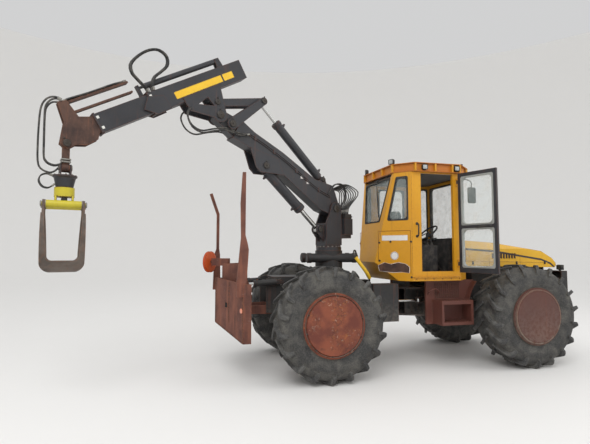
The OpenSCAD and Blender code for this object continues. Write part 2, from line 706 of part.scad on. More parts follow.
// Height of the cylinder that pushes the jib's middle section out
tube_z = 730;
slide_rod_r = 18;
module jib() color("#232427") place() crane_plane() jib_plane() {
    difference() {
        block([-705, -jib_half_w, jib_low], [870, jib_half_w, jib_high]);
        block([-600, box_t - jib_half_w, jib_low + box_t], [871, jib_half_w - box_t, jib_high - box_t]);
    }
    slide_pads(jib_half_w - box_t, [jib_low + box_t, jib_high - box_t], 860);
    pair(92, 113) difference() {
        union() {
            circle(105);
            polygon([[-105, 0], [-200, jib_low + 5], [-200, jib_low + 60], [420, jib_low + 60], [400, 215],
                [105, 0]]);
            translate(turn(jib_drop, drag_pin - jib_pin)) circle(60);
        }
        polygon([[30, 150], [240, 250], [60, 290]]);
    }
    block([-60, -93, 300], [330, 93, jib_low + 1]);
    pin_y([0, 0], 40, 240);
    pin_y(turn(jib_drop, drag_pin - jib_pin), 28, 240);
    pair(jib_half_w - 1, jib_half_w + 14)
        polygon([[640, jib_low - 20], [850, jib_low - 25], [1000, 440], [870, 580], [660, 520]]);
    pair(25, 45)
        polygon([[-440, jib_high - 1], [-340, jib_high - 1], [-350, 760], [-420, 760]]);
    difference() {
        union() {
            translate([0, 0, tube_z]) tube_x(38, -400, 800);
            block([700, -30, jib_high - 1], [740, 30, tube_z]);
        }
        translate([0, 0, tube_z]) tube_x(slide_rod_r + fit, -300, 801);
    }
}

module middle_section() color("#232427") place() crane_plane() jib_plane() {
    o = jib_half_w - box_t - slide_gap;
    lo = jib_low + box_t + slide_gap;
    hi = jib_high - box_t - slide_gap;
    difference() {
        block([-80, -o, lo], [1620, o, hi]);
        block([-81, box_t - o, lo + box_t], [1621, o - box_t, hi - box_t]);
    }
    slide_pads(o - box_t, [lo + box_t, hi - box_t], 1610);
    block([885, -30, hi - 1], [925, 30, tube_z + 35]);
    translate([0, 0, tube_z]) tube_x(slide_rod_r, 60, 900);
}

module boom_head() color("#5a3a2c") place() crane_plane() jib_plane() {
    o = jib_half_w - 2 * (box_t + slide_gap);
    lo = jib_low + 2 * (box_t + slide_gap);
    hi = jib_high - 2 * (box_t + slide_gap);
    difference() {
        block([500, -o, lo], [1860, o, hi]);
        block([499, box_t - o, lo + box_t], [1650, o - box_t, hi - box_t]);
    }
    pair(o - 22, o) polygon([[1640, lo], [1640, hi], [1770, 640], [1800, 860], [1900, 880], [1950, 640],
        [2110, 440], [2070, 340], [1960, 350], [1850, 300], [1700, 310]]);
    for (z = [700, 830])
        block([1000, -50, z], [1850, 50, z + 22]);
    pin_y(hang_local, 32, 2 * o + 20);
}

module hanger() color("#4c3a30") place() crane_plane() {
    difference() {
        union() {
            pin_y(hang_pin, 60, 70);
            block([hang_pin.x - 40, -30, swing_z], [hang_pin.x + 40, 30, hang_pin.y - 20]);
            translate([hang_pin.x, 0, swing_z]) rotate([0, 90, 0]) cylinder(r = 55, h = 80, center = true);
        }
        pin_y(hang_pin, 32 + fit, 200);
        translate([hang_pin.x, 0, swing_z]) rotate([0, 90, 0]) cylinder(r = 28 + fit, h = 200, center = true);
    }
}

rotor_z = 2535;
module rotator() color("#26272a") place() crane_plane() translate([hang_pin.x, 0, 0]) {
    translate([0, 0, swing_z]) rotate([0, 90, 0]) cylinder(r = 28, h = 130, center = true);
    for (s = [-1, 1])
        rotate([0, 0, 90]) translate([0, s * 55, 0]) upright(20) union() {
            translate([0, swing_z]) circle(45);
            polygon([[-50, 2740], [50, 2740], [45, swing_z], [-45, swing_z]]);
        }
    translate([0, 0, 2610]) rotate_extrude()
        polygon([[0, 0], [95, 0], [118, 110], [135, 125], [135, 142], [0, 142]]);
    translate([0, 0, rotor_z]) cylinder(r = 45, h = 80);
}

head_w = 190;
pin_s = 110;
pin_z = 2400;
module grapple_head() color("#c9b52c") place() crane_plane() at_grapple() {
    difference() {
        translate([0, 0, rotor_z - 40]) cylinder(r = 110, h = 110);
        translate([0, 0, rotor_z - 1]) cylinder(r = 45 + fit, h = 200);
    }
    block([-head_w + 10, -80, pin_z - 20], [head_w - 10, 80, pin_z + 20]);
    for (s = [-1, 1]) {
        translate([0, s * pin_s, pin_z]) {
            tube_x(45, -head_w, head_w);
            tube_x(25, -head_w - 45, head_w + 45);
        }
        block([s * 90 - 12, -pin_s, pin_z], [s * 90 + 12, pin_s, rotor_z - 30]);
    }
}

jaw_mid = [-30, 1990];
jaw_r = 385;
jaw_low_z = 1605;
arm_in = head_w + 5;
jaw_half_w = head_w + 40;
jaw_round = 120;

// Side views of a jaw's arc, and of the arm up to its pin
module jaw_arc() intersection() {
    difference() {
        translate(jaw_mid) circle(jaw_r);
        translate(jaw_mid + [-22, 25]) circle(jaw_r - 36);
    }
    translate([6, 1500]) square([500, 790]);
}
module jaw_arm() difference() {
    bar([pin_s, pin_z], [190, 2270], 50, 22);
    translate([pin_s, pin_z]) circle(25 + fit);
}

// The area between two uprights that meet in round lower corners
module round_bottom(half, low, high, r) {
    for (s = [-1, 1])
        translate([s * (half - r), low + r]) circle(r);
    translate([seam - half, low + r]) square([2 * (half - seam), high - low - r]);
    translate([r - half, low + seam]) square([2 * (half - r), r]);
}

// What the front view of a jaw leaves open: the space between its arms, and its rounded corners
module jaw_openings() {
    round_bottom(arm_in - 25, jaw_low_z + 135, 1900, 60);
    polygon([[25 + seam - arm_in, 1800], [arm_in - 25 - seam, 1800], [arm_in, 2300], [arm_in, 2700],
        [-arm_in, 2700], [-arm_in, 2300]]);
    for (s = [-1, 1]) {
        difference() {
            translate([s * (jaw_half_w - 55) - 65, jaw_low_z - 10]) square([130, 130]);
            translate([s * (jaw_half_w - jaw_round + seam), jaw_low_z + jaw_round - seam]) circle(jaw_round);
        }
    }
}
module jaw() {
    difference() {
        rotate([0, 0, 90]) upright(2 * jaw_half_w) jaw_arc();
        translate([0, 500, 0]) upright(1000) jaw_openings();
    }
    for (s = [-1, 1])
        translate([s * (arm_in + 13), 0, 0]) rotate([0, 0, 90]) upright(26) jaw_arm();
}
module jaw_near() color("#5d5650") place() crane_plane() at_grapple() mirror([0, 1, 0]) jaw();
module jaw_far() color("#5d5650") place() crane_plane() at_grapple() jaw();

front_frame();
front_axle();
engine();
hood();
nose_guard();
fuel_tank();
steps();
cab_shell();
cab_roof();
cab_glass();
seat();
controls();
door_right();
glass_right();
door_left();
glass_left();
rear_frame();
rear_axle();
slew_base();
steer_barrel(-1);  // steer_barrel_right
steer_rod(-1);  // steer_rod_right
steer_barrel(1);  // steer_barrel_left
steer_rod(1);  // steer_rod_left
tyre(wheelbase, -1);  // tyre_front_right
rim(wheelbase, -1);  // rim_front_right
tyre(wheelbase, 1);  // tyre_front_left
rim(wheelbase, 1);  // rim_front_left
tyre(0, -1);  // tyre_rear_right
rim(0, -1);  // rim_rear_right
tyre(0, 1);  // tyre_rear_left
rim(0, 1);  // rim_rear_left
shield();
shield_barrels();
shield_rods();
pulley();
crane_post();
main_boom();
lift_barrel();
lift_rod();
jib_barrel();
jib_rod();
guide_link();
drag_link();
jib();
middle_section();
boom_head();
hanger();
rotator();
grapple_head();
jaw_near();
jaw_far();
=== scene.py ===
import json
from math import copysign, cos, exp, hypot, pi, radians, sin, tan

import bmesh
import bpy
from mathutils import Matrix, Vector
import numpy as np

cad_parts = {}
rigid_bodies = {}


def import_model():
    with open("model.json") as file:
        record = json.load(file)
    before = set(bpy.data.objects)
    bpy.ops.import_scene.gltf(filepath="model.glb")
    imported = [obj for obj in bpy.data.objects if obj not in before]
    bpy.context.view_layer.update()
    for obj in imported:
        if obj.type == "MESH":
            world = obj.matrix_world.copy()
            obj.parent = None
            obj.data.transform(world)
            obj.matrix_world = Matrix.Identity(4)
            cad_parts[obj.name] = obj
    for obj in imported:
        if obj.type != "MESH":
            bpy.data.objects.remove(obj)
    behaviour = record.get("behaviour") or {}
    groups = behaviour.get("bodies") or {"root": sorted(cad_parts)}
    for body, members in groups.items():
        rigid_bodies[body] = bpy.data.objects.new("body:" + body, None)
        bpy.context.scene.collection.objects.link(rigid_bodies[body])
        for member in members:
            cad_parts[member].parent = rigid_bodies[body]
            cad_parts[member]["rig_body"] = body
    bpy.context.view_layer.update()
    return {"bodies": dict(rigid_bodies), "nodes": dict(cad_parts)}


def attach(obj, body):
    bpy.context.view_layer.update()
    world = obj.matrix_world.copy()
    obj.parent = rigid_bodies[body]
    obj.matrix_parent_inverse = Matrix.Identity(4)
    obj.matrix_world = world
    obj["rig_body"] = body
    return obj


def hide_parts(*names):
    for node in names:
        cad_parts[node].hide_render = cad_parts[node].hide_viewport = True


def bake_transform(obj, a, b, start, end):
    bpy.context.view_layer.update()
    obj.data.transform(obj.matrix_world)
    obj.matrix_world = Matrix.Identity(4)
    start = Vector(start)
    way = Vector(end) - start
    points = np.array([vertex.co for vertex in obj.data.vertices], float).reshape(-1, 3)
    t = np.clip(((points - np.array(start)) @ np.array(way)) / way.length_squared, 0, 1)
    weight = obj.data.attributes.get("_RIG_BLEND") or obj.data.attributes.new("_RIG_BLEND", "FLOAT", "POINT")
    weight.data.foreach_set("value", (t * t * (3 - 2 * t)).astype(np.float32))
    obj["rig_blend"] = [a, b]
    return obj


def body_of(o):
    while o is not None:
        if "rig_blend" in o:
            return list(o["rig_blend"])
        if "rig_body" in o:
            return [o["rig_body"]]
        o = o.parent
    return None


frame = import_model()

# The machine is measured in millimetres: x ahead of the rear axle, y left of the middle plane, z above ground
OUTLINE_MID = (512.3, -241.7)
POST_X = 380
SLEW = radians(200)
JIB_PIN = (2098, 3826)
JIB_DROP = radians(30.5)
HANG_R = 4065.23
GRIP_TURN = radians(12.7)
WHEELBASE, HALF_TRACK, WHEEL_Z = 3427, 1025, 820
RIGHT, LEFT = -1, 1
SIDES = (("right", RIGHT), ("left", LEFT))
UP = Vector((0, 0, 1))


def at(x, y, z):
    """A point of the machine, in the frame's metres."""
    return Vector(((x - OUTLINE_MID[0]) / 1000, (y - OUTLINE_MID[1]) / 1000, z / 1000))


def on_crane(r, side, z):
    """A point in the crane's plane: r out from the post, side towards the machine's right."""
    x = r * cos(SLEW) - side * sin(SLEW)
    y = r * sin(SLEW) + side * cos(SLEW)
    return at(POST_X + x, y, z)


def on_jib(along, side, up):
    """A point in the jib's own axes, from its pin."""
    r = JIB_PIN[0] + along * cos(JIB_DROP) + up * sin(JIB_DROP)
    z = JIB_PIN[1] - along * sin(JIB_DROP) + up * cos(JIB_DROP)
    return on_crane(r, side, z)


def on_grapple(x, y, z):
    """A point in the grapple's axes, below the crane's tip."""
    tip = on_crane(HANG_R, 0, 0)
    c, s = cos(GRIP_TURN), sin(GRIP_TURN)
    return Vector((tip.x + (x * c - y * s) / 1000, tip.y + (x * s + y * c) / 1000, z / 1000))


def placed(name, data):
    """A new object of the scene."""
    made = bpy.data.objects.new(name, data)
    bpy.context.scene.collection.objects.link(made)
    return made


# Camera

CAMERA_AT = (-2147.6, -7143.9, 1847.7)
CAMERA_TURN = radians(-15.124)
CAMERA_TILT = radians(3.859)
camera = placed("camera", bpy.data.cameras.new("camera"))
camera.data.sensor_width = 36
camera.data.lens = 26.89
camera.data.clip_end = 200
camera.location = at(*CAMERA_AT)
looking = Vector((-sin(CAMERA_TURN) * cos(CAMERA_TILT),
                  cos(CAMERA_TURN) * cos(CAMERA_TILT), sin(CAMERA_TILT)))
camera.rotation_euler = looking.to_track_quat("-Z", "Y").to_euler()
bpy.context.scene.camera = camera
bpy.context.scene.view_settings.view_transform = "Standard"


# Shader kit

class Socket:
    """A node's output. Python's operators on it add Math nodes."""

    def __init__(self, finish, link):
        self.finish = finish
        self.link = link

    def math(self, operation, *values):
        return self.finish.node("ShaderNodeMath", {"operation": operation}, values)

    def __add__(self, other):
        return self.math("ADD", self, other)

    def __sub__(self, other):
        return self.math("SUBTRACT", self, other)

    def __rsub__(self, other):
        return self.math("SUBTRACT", other, self)

    def __mul__(self, other):
        return self.math("MULTIPLY", self, other)

    def most(self, other):
        return self.math("MAXIMUM", self, other)


class Finish:
    """A procedural material with one Principled shader."""

    def __init__(self, name):
        self.material = bpy.data.materials.new(name)
        self.material.use_nodes = True
        self.tree = self.material.node_tree
        self.shader = self.tree.nodes["Principled BSDF"]
        self.place = self.node("ShaderNodeTexCoord", output="Object")

    def node(self, kind, settings=None, values=(), output=0):
        made = self.tree.nodes.new(kind)
        for key, value in (settings or {}).items():
            if key == "stops":
                while len(made.color_ramp.elements) < len(value):
                    made.color_ramp.elements.new(0.5)
                for element, (spot, colour) in zip(made.color_ramp.elements, value):
                    element.position = spot
                    element.color = (*colour, 1)
            else:
                setattr(made, key, value)
        pairs = values.items() if isinstance(values, dict) else enumerate(values)
        for key, value in pairs:
            self.feed(made.inputs[key], value)
        return Socket(self, made.outputs[output])

    def feed(self, socket, value):
        if isinstance(value, Socket):
            self.tree.links.new(value.link, socket)
        elif hasattr(value, "__len__") and len(value) == 3 and socket.type == "RGBA":
            socket.default_value = (*value, 1)
        else:
            socket.default_value = value

    def set(self, **values):
        for key, value in values.items():
            self.feed(self.shader.inputs[key.replace("_", " ")], value)

    def noise(self, scale, detail=4, rough=0.55, stretch=None, warp=0.0):
        place = self.place
        if stretch:
            place = self.node("ShaderNodeMapping", {}, {"Vector": place, "Scale": stretch})
        return self.node("ShaderNodeTexNoise", {}, {"Vector": place, "Scale": scale, "Detail": detail,
                                                    "Roughness": rough, "Distortion": warp})

    def waves(self, scale, direction="X"):
        return self.node("ShaderNodeTexWave", {"bands_direction": direction}, {"Vector": self.place, "Scale": scale})

    def step(self, value, low, high):
        return self.node("ShaderNodeMapRange", {"interpolation_type": "SMOOTHSTEP"},
                         {"Value": value, "From Min": low, "From Max": high})

    def patches(self, scale, low, high, *shape, **bend):
        """Soft-edged patches of noise: 0 below low, 1 above high."""
        return self.step(self.noise(scale, *shape, **bend), low, high)

    def mix(self, share, first, second):
        return self.node("ShaderNodeMix", {"data_type": "RGBA"}, {0: share, 6: first, 7: second}, 2)

    def height(self):
        made = self.node("ShaderNodeSeparateXYZ", {}, [self.place])
        return Socket(self, made.link.node.outputs["Z"])

    def edges(self, radius):
        """1 along sharp edges, 0 on flat faces."""
        soft = self.node("ShaderNodeBevel", {"samples": 4}, {"Radius": radius})
        hard = self.node("ShaderNodeNewGeometry", output="Normal")
        dot = self.node("ShaderNodeVectorMath", {"operation": "DOT_PRODUCT"}, [soft, hard], "Value")
        return self.step(1 - dot, 0.002, 0.12)

    def crevice(self, distance):
        """1 in corners and under ledges, 0 in the open."""
        shade = self.node("ShaderNodeAmbientOcclusion", {"samples": 4}, {"Distance": distance}, "AO")
        return 1 - shade

    def bump(self, height, distance):
        """Puts the relief on and gives the finished material."""
        self.set(Normal=self.node("ShaderNodeBump", {}, {"Height": height, "Distance": distance, "Strength": 0.6}))
        return self.material


def srgb(r, g, b):
    """A colour as it looks on screen, turned to the shader's linear values."""
    return tuple((c / 255 / 12.92) if c <= 10 else ((c / 255 + 0.055) / 1.055) ** 2.4 for c in (r, g, b))


DUST = srgb(150, 143, 132)
RUST_DARK = srgb(78, 46, 36)
RUST = srgb(118, 66, 42)
RUST_BRIGHT = srgb(168, 96, 48)
CHIP_WIDTH = 0.012


def worn_paint(name, colour, second, rust, dust, low_z, rough):
    """Old machine paint: faded in patches, chipped to rust along edges, dusty below low_z."""
    f = Finish(name)
    fade = f.patches(1.6, 0.35, 0.7, 3)
    base = f.mix(fade * 0.7, srgb(*colour), srgb(*second))
    mottle = f.patches(24, 0.45, 0.75, 5, 0.7)
    base = f.mix(mottle * 0.12, base, srgb(90, 70, 40))
    streak = f.patches(14, 0.56, 0.74, 4, 0.6, (1, 1, 0.08))
    base = f.mix(streak * 0.22, base, RUST)
    rough_edge = f.noise(55, 5, 0.7)
    edge = f.step(f.edges(CHIP_WIDTH) * 0.8 + rough_edge * 0.9, 0.95 - 0.25 * rust, 1.15)
    spots = f.step(f.noise(38, 6, 0.75, warp=0.4), 0.735 - 0.06 * rust, 0.78 - 0.06 * rust)
    bare = edge.most(spots)
    rusty = f.mix(f.step(rough_edge, 0.4, 0.65), RUST_DARK, RUST)
    base = f.mix(bare * 0.9, base, rusty)
    low = f.step(f.height() + f.noise(5, 4) * 0.5, low_z + 0.3, low_z - 0.6)
    corner = f.step(f.crevice(0.12), 0.35, 0.85)
    dirty = (low * 0.55 + corner * 0.5) * dust
    base = f.mix(dirty * f.patches(18, 0.3, 0.65, 5, 0.7), base, DUST)
    f.set(Base_Color=base, Roughness=bare * 0.4 + dirty * 0.4 + fade * 0.12 + rough, Coat_Weight=0.12,
          Coat_Roughness=0.35)
    return f.bump(f.noise(90, 3) * 0.3 - bare * 0.8, 0.0015)


def rust_plate(name, dark, mid, bright, scale=1.0):
    """Bare weathered plate with runs of rust, scrapes and pitting."""
    f = Finish(name)
    clouds = f.patches(3.2 * scale, 0.32, 0.68, 5, 0.6, warp=0.3)
    base = f.mix(clouds, srgb(*dark), srgb(*mid))
    runs = f.patches(11 * scale, 0.48, 0.7, 5, 0.65, (1, 1, 0.12))
    base = f.mix(runs * 0.55, base, srgb(*bright))
    scrape = f.patches(26 * scale, 0.6, 0.72, 6, 0.7, (0.25, 1, 1))
    base = f.mix(scrape * 0.35, base, srgb(126, 110, 104))
    stain = f.patches(6 * scale, 0.58, 0.75, 4, 0.6, (1, 1, 0.3))
    base = f.mix(stain * 0.55, base, srgb(44, 34, 32))
    rim = f.edges(0.008) * f.patches(40, 0.35, 0.6, 3)
    base = f.mix(rim * 0.6, base, RUST_BRIGHT)
    f.set(Base_Color=base, Roughness=scrape * -0.2 + 0.82)
    return f.bump(f.noise(120, 6, 0.8) * 0.5 + clouds * 0.5, 0.0022)


def flaking_rim(name):
    """A wheel disc whose paint comes off in flakes down to dark and orange rust."""
    f = Finish(name)
    base = f.mix(f.patches(5, 0.35, 0.65, 4), srgb(104, 52, 40), srgb(134, 72, 50))
    zone = f.patches(2.6, 0.38, 0.6, 3, 0.5, warp=0.5)
    flake = f.node("ShaderNodeTexVoronoi", {}, {"Vector": f.place, "Scale": 42}, "Color")
    pick = f.node("ShaderNodeValToRGB", {"stops": [(0.0, srgb(48, 32, 28)), (0.32, srgb(86, 48, 36)),
                                                   (0.55, srgb(160, 96, 52)), (0.72, srgb(70, 42, 36)),
                                                   (0.9, srgb(190, 160, 138))]}, [flake])
    torn = f.patches(22, 0.48, 0.56, 6, 0.75, warp=0.8)
    base = f.mix(torn * zone * 0.85, base, pick)
    base = f.mix(f.patches(9, 0.58, 0.72, 5, 0.7) * 0.6, base, srgb(52, 36, 34))
    f.set(Base_Color=base, Roughness=0.78)
    return f.bump(torn * zone * -1.0 + f.noise(70, 4) * 0.4, 0.003)


def dusty_rubber(name, colour, dust, share):
    """Tyre rubber with dry mud in its corners and dust on its walls."""
    f = Finish(name)
    cloud = f.patches(5, 0.36, 0.68, 5, 0.65, warp=0.4)
    fine = f.patches(60, 0.42, 0.66, 5, 0.75)
    scuff = f.step(f.edges(0.012) * 0.9 + f.noise(30, 4, 0.7) * 0.7, 0.75, 1.2)
    base = f.mix(cloud * 0.5 * share + fine * 0.3 * share, srgb(*colour), srgb(*dust))
    base = f.mix(f.step(f.crevice(0.06), 0.3, 0.8) * 0.55 * share, base, srgb(128, 118, 102))
    base = f.mix(scuff * 0.5 * share, base, srgb(140, 138, 134))
    f.set(Base_Color=base, Roughness=cloud * 0.18 + 0.68)
    return f.bump(f.noise(85, 5, 0.7) * 0.6 + f.noise(12, 3) * 0.4, 0.003)


def plain_metal(name, colour, metallic, rough, grime=0.3, scale=40):
    """Steel or plated metal with smears and small scratches."""
    f = Finish(name)
    smear = f.patches(scale * 0.3, 0.4, 0.7, 5, 0.65)
    scratch = f.patches(scale * 3, 0.6, 0.7, 3, 0.7, (1, 0.2, 1))
    base = f.mix(smear * grime, srgb(*colour), srgb(74, 62, 52))
    f.set(Base_Color=base, Metallic=metallic, Roughness=smear * 0.2 + scratch * 0.12 + rough)
    return f.bump(scratch * 0.5 + f.noise(scale * 2, 3) * 0.3, 0.0006)


def moulded(name, colour, rough, dust=0.25):
    """Moulded rubber or plastic with a fine grain and some dust."""
    f = Finish(name)
    film = f.patches(9, 0.42, 0.7, 5, 0.7)
    base = f.mix(film * dust, srgb(*colour), DUST)
    f.set(Base_Color=base, Roughness=film * 0.2 + rough)
    return f.bump(f.noise(420, 3) * 0.6 + f.noise(60, 3) * 0.4, 0.0005)


def window(name):
    """Cab glass: clear, faintly green, with a dust film in patches."""
    f = Finish(name)
    film = f.patches(7, 0.4, 0.75, 5, 0.7, warp=0.3)
    f.set(Base_Color=f.mix(film, srgb(206, 222, 220), srgb(226, 224, 216)), Roughness=film * 0.12 + 0.03,
          Alpha=film * 0.13 + 0.14, Specular_IOR_Level=0.9)
    return f.material


def cloth(name, colour, second):
    """Woven seat cover."""
    f = Finish(name)
    weave = f.waves(160) * 0.5 + f.waves(160, "Y") * 0.5
    worn = f.patches(6, 0.4, 0.7, 4)
    f.set(Base_Color=f.mix(worn * 0.5 + weave * 0.25, srgb(*colour), srgb(*second)), Roughness=0.92, Sheen_Weight=0.25)
    return f.bump(weave + f.noise(30, 3) * 0.3, 0.001)


def lamp_glass(name, colour):
    """A ribbed lamp lens."""
    f = Finish(name)
    ribs = f.waves(45)
    f.set(Base_Color=f.mix(ribs * 0.3, srgb(*colour), srgb(250, 250, 245)), Roughness=ribs * 0.1 + 0.12,
          Coat_Weight=0.8)
    return f.bump(ribs, 0.001)


# Columns: key, material, fresh and faded colour, rust, dust, height in metres that dust reaches, roughness
PAINT = {key: worn_paint(*look) for key, *look in (
    ("yellow", "yellow_paint", (206, 144, 8), (214, 154, 18), 0.45, 0.35, 1.2, 0.42),
    # The next entry is the cab's yellow paint darkened to orange: painted shade for the roof and its recessed fascia
    # under the top edge. Its chips, rust and dust are wear.
    ("orange_yellow", "faded_yellow_paint", (184, 106, 8), (202, 130, 14), 0.6, 0.4, 0.5, 0.42),
    ("hood_yellow", "hood_yellow_paint", (216, 164, 16), (224, 176, 34), 0.3, 0.3, 1.2, 0.42),
    ("black", "black_crane_paint", (34, 35, 40), (48, 49, 54), 0.55, 0.5, 0.6, 0.46),
    ("chassis", "black_chassis_paint", (32, 32, 34), (44, 43, 42), 0.6, 0.9, 1.2, 0.6),
    ("dusty_rim", "dusty_rim_paint", (118, 92, 80), (100, 70, 60), 0.8, 0.9, 1.2, 0.7),
    ("front_rim", "front_rim_paint", (82, 48, 42), (96, 58, 48), 0.3, 0.4, 1.2, 0.7),
    ("primer", "brown_primer", (92, 50, 42), (110, 62, 50), 0.5, 0.45, 0.6, 0.6),
    ("lime", "lime_yellow_paint", (186, 172, 34), (206, 190, 48), 1.3, 0.5, 0.2, 0.42),
    ("orange", "orange_paint", (214, 92, 30), (196, 78, 26), 1.3, 0.3, 0.2, 0.42),
    ("label_yellow", "label_yellow", (232, 190, 40), (226, 176, 30), 0.2, 0.2, 0.2, 0.42),
    ("label_white", "label_white", (226, 224, 220), (206, 204, 206), 0.2, 0.3, 0.2, 0.42))}
RUSTY = rust_plate("rusty_plate", (88, 54, 46), (118, 74, 60), (142, 86, 64))
RUSTY_DARK = rust_plate("rusty_dark_steel", (58, 42, 38), (86, 62, 52), (112, 74, 56), 2.0)
JAW_STEEL = rust_plate("worn_jaw_steel", (76, 68, 62), (104, 94, 86), (112, 84, 68), 2.0)
RIM_RUST = flaking_rim("flaking_rim")
TYRE = dusty_rubber("tyre_rubber", (42, 42, 43), (118, 115, 108), 0.85)
TYRE_LUG = dusty_rubber("tyre_lug_rubber", (36, 36, 38), (150, 148, 142), 0.55)
CHROME = plain_metal("polished_rod", (196, 196, 194), 1.0, 0.12, 0.2)
STEEL = plain_metal("zinc_steel", (150, 148, 142), 0.9, 0.38, 0.5)
PIN_STEEL = plain_metal("oily_pin_steel", (74, 71, 68), 0.8, 0.45, 0.5)
IRON = plain_metal("cast_iron", (62, 60, 58), 0.5, 0.6, 0.6)
RUBBER = moulded("black_rubber", (26, 26, 27), 0.62)
HOSE = moulded("hose_rubber", (24, 24, 25), 0.5, 0.35)
TRIM = moulded("cab_trim", (38, 38, 40), 0.6)
WHITE_PAD = moulded("white_slide_pad", (214, 214, 208), 0.5, 0.4)
GREY_RUBBER = moulded("grey_seal", (150, 152, 148), 0.6)
# A near-black sheet that stands for the shade inside a hole: painted shade.
HOLE_SHADE = moulded("painted_hole_shade", (12, 11, 11), 0.9, 0.05)
RUST_SEAM = rust_plate("seam_rust", (120, 84, 30), (150, 104, 30), (96, 60, 30), 3.0)
GLASS = window("cab_glass")
SEAT_CLOTH = cloth("seat_cloth", (44, 44, 48), (74, 73, 74))
LENS = lamp_glass("lamp_lens", (150, 156, 156))
LENS_ORANGE = lamp_glass("orange_lens", (224, 104, 28))

NODE_FINISH = {
    # The cab roof takes the yellow paint darkened to orange, as painted shade.
    PAINT["yellow"]: "cab_shell door_left", PAINT["orange_yellow"]: "cab_roof", PAINT["hood_yellow"]: "hood",
    PAINT["chassis"]: "front_frame front_axle rear_frame rear_axle nose_guard fuel_tank shield_barrels "
                      "steer_barrel_right steer_barrel_left slew_base",
    PAINT["primer"]: "steps", PAINT["lime"]: "grapple_head", PAINT["orange"]: "pulley",
    PAINT["black"]: "crane_post main_boom lift_barrel jib_barrel guide_link drag_link jib middle_section rotator "
                    "door_right",
    PAINT["front_rim"]: "rim_front_right rim_front_left", RIM_RUST: "rim_rear_right rim_rear_left",
    TYRE: "tyre_front_right tyre_front_left tyre_rear_right tyre_rear_left", RUSTY: "shield",
    RUSTY_DARK: "boom_head hanger", JAW_STEEL: "jaw_near jaw_far", IRON: "engine", TRIM: "controls",
    CHROME: "lift_rod jib_rod shield_rods steer_rod_right steer_rod_left", SEAT_CLOTH: "seat",
    GLASS: "cab_glass glass_right glass_left",
}
for material, names in NODE_FINISH.items():
    for name in names.split():
        for material_slot in frame["nodes"][name].material_slots:
            material_slot.material = material

# Mesh kit

def smooth_path(points, count):
    """A smooth curve through given points, as count points."""
    ends = [2 * points[0] - points[1], *points, 2 * points[-1] - points[-2]]
    out = []
    for k in range(count):
        t = k * (len(points) - 1) / (count - 1)
        i = min(int(t), len(points) - 2)
        a, b, c, d = ends[i:i + 4]
        t -= i
        out.append(0.5 * (2 * b + (c - a) * t + (2 * a - 5 * b + 4 * c - d) * t ** 2
                          + (3 * b - a - 3 * c + d) * t ** 3))
    return out


def rounded(points, radius, steps=6):
    """A 2D outline with its corners turned into arcs. Every corner gets as many points."""
    out = []
    for i, corner in enumerate(points):
        corner = Vector(corner)
        back = (Vector(points[i - 1]) - corner).normalized()
        ahead = (Vector(points[(i + 1) % len(points)]) - corner).normalized()
        half = back.angle(ahead) / 2
        middle = corner + (back + ahead).normalized() * radius / sin(half)
        first = corner + back * radius / tan(half) - middle
        last = corner + ahead * radius / tan(half) - middle
        for k in range(steps + 1):
            out.append(middle + first.slerp(last, k / steps).normalized() * radius)
    return out


def oblong(x0, y0, x1, y1):
    return [(x0, y0), (x1, y0), (x1, y1), (x0, y1)]


def grown(points, by):
    """A 2D outline whose edges are moved outward."""
    out = []
    area = sum(a[0] * b[1] - b[0] * a[1] for a, b in zip(points, points[1:] + points[:1]))
    turn = 1 if area > 0 else -1
    for i, corner in enumerate(points):
        back = (Vector(corner) - Vector(points[i - 1])).normalized()
        ahead = (Vector(points[(i + 1) % len(points)]) - Vector(corner)).normalized()
        n1 = Vector((back.y, -back.x)) * turn
        n2 = Vector((ahead.y, -ahead.x)) * turn
        out.append(Vector(corner) + (n1 + n2) * by / (1 + n1.dot(n2)))
    return out


def turns(count, start=0):
    """The angles of count spots round a circle."""
    return [2 * pi * (k + start) / count for k in range(count)]


def moving_body(name):
    """The body that a named node rides on, or the body of that name itself."""
    if name in frame["bodies"]:
        return name
    riding = body_of(frame["nodes"][name])
    return riding if isinstance(riding, str) else riding[0]


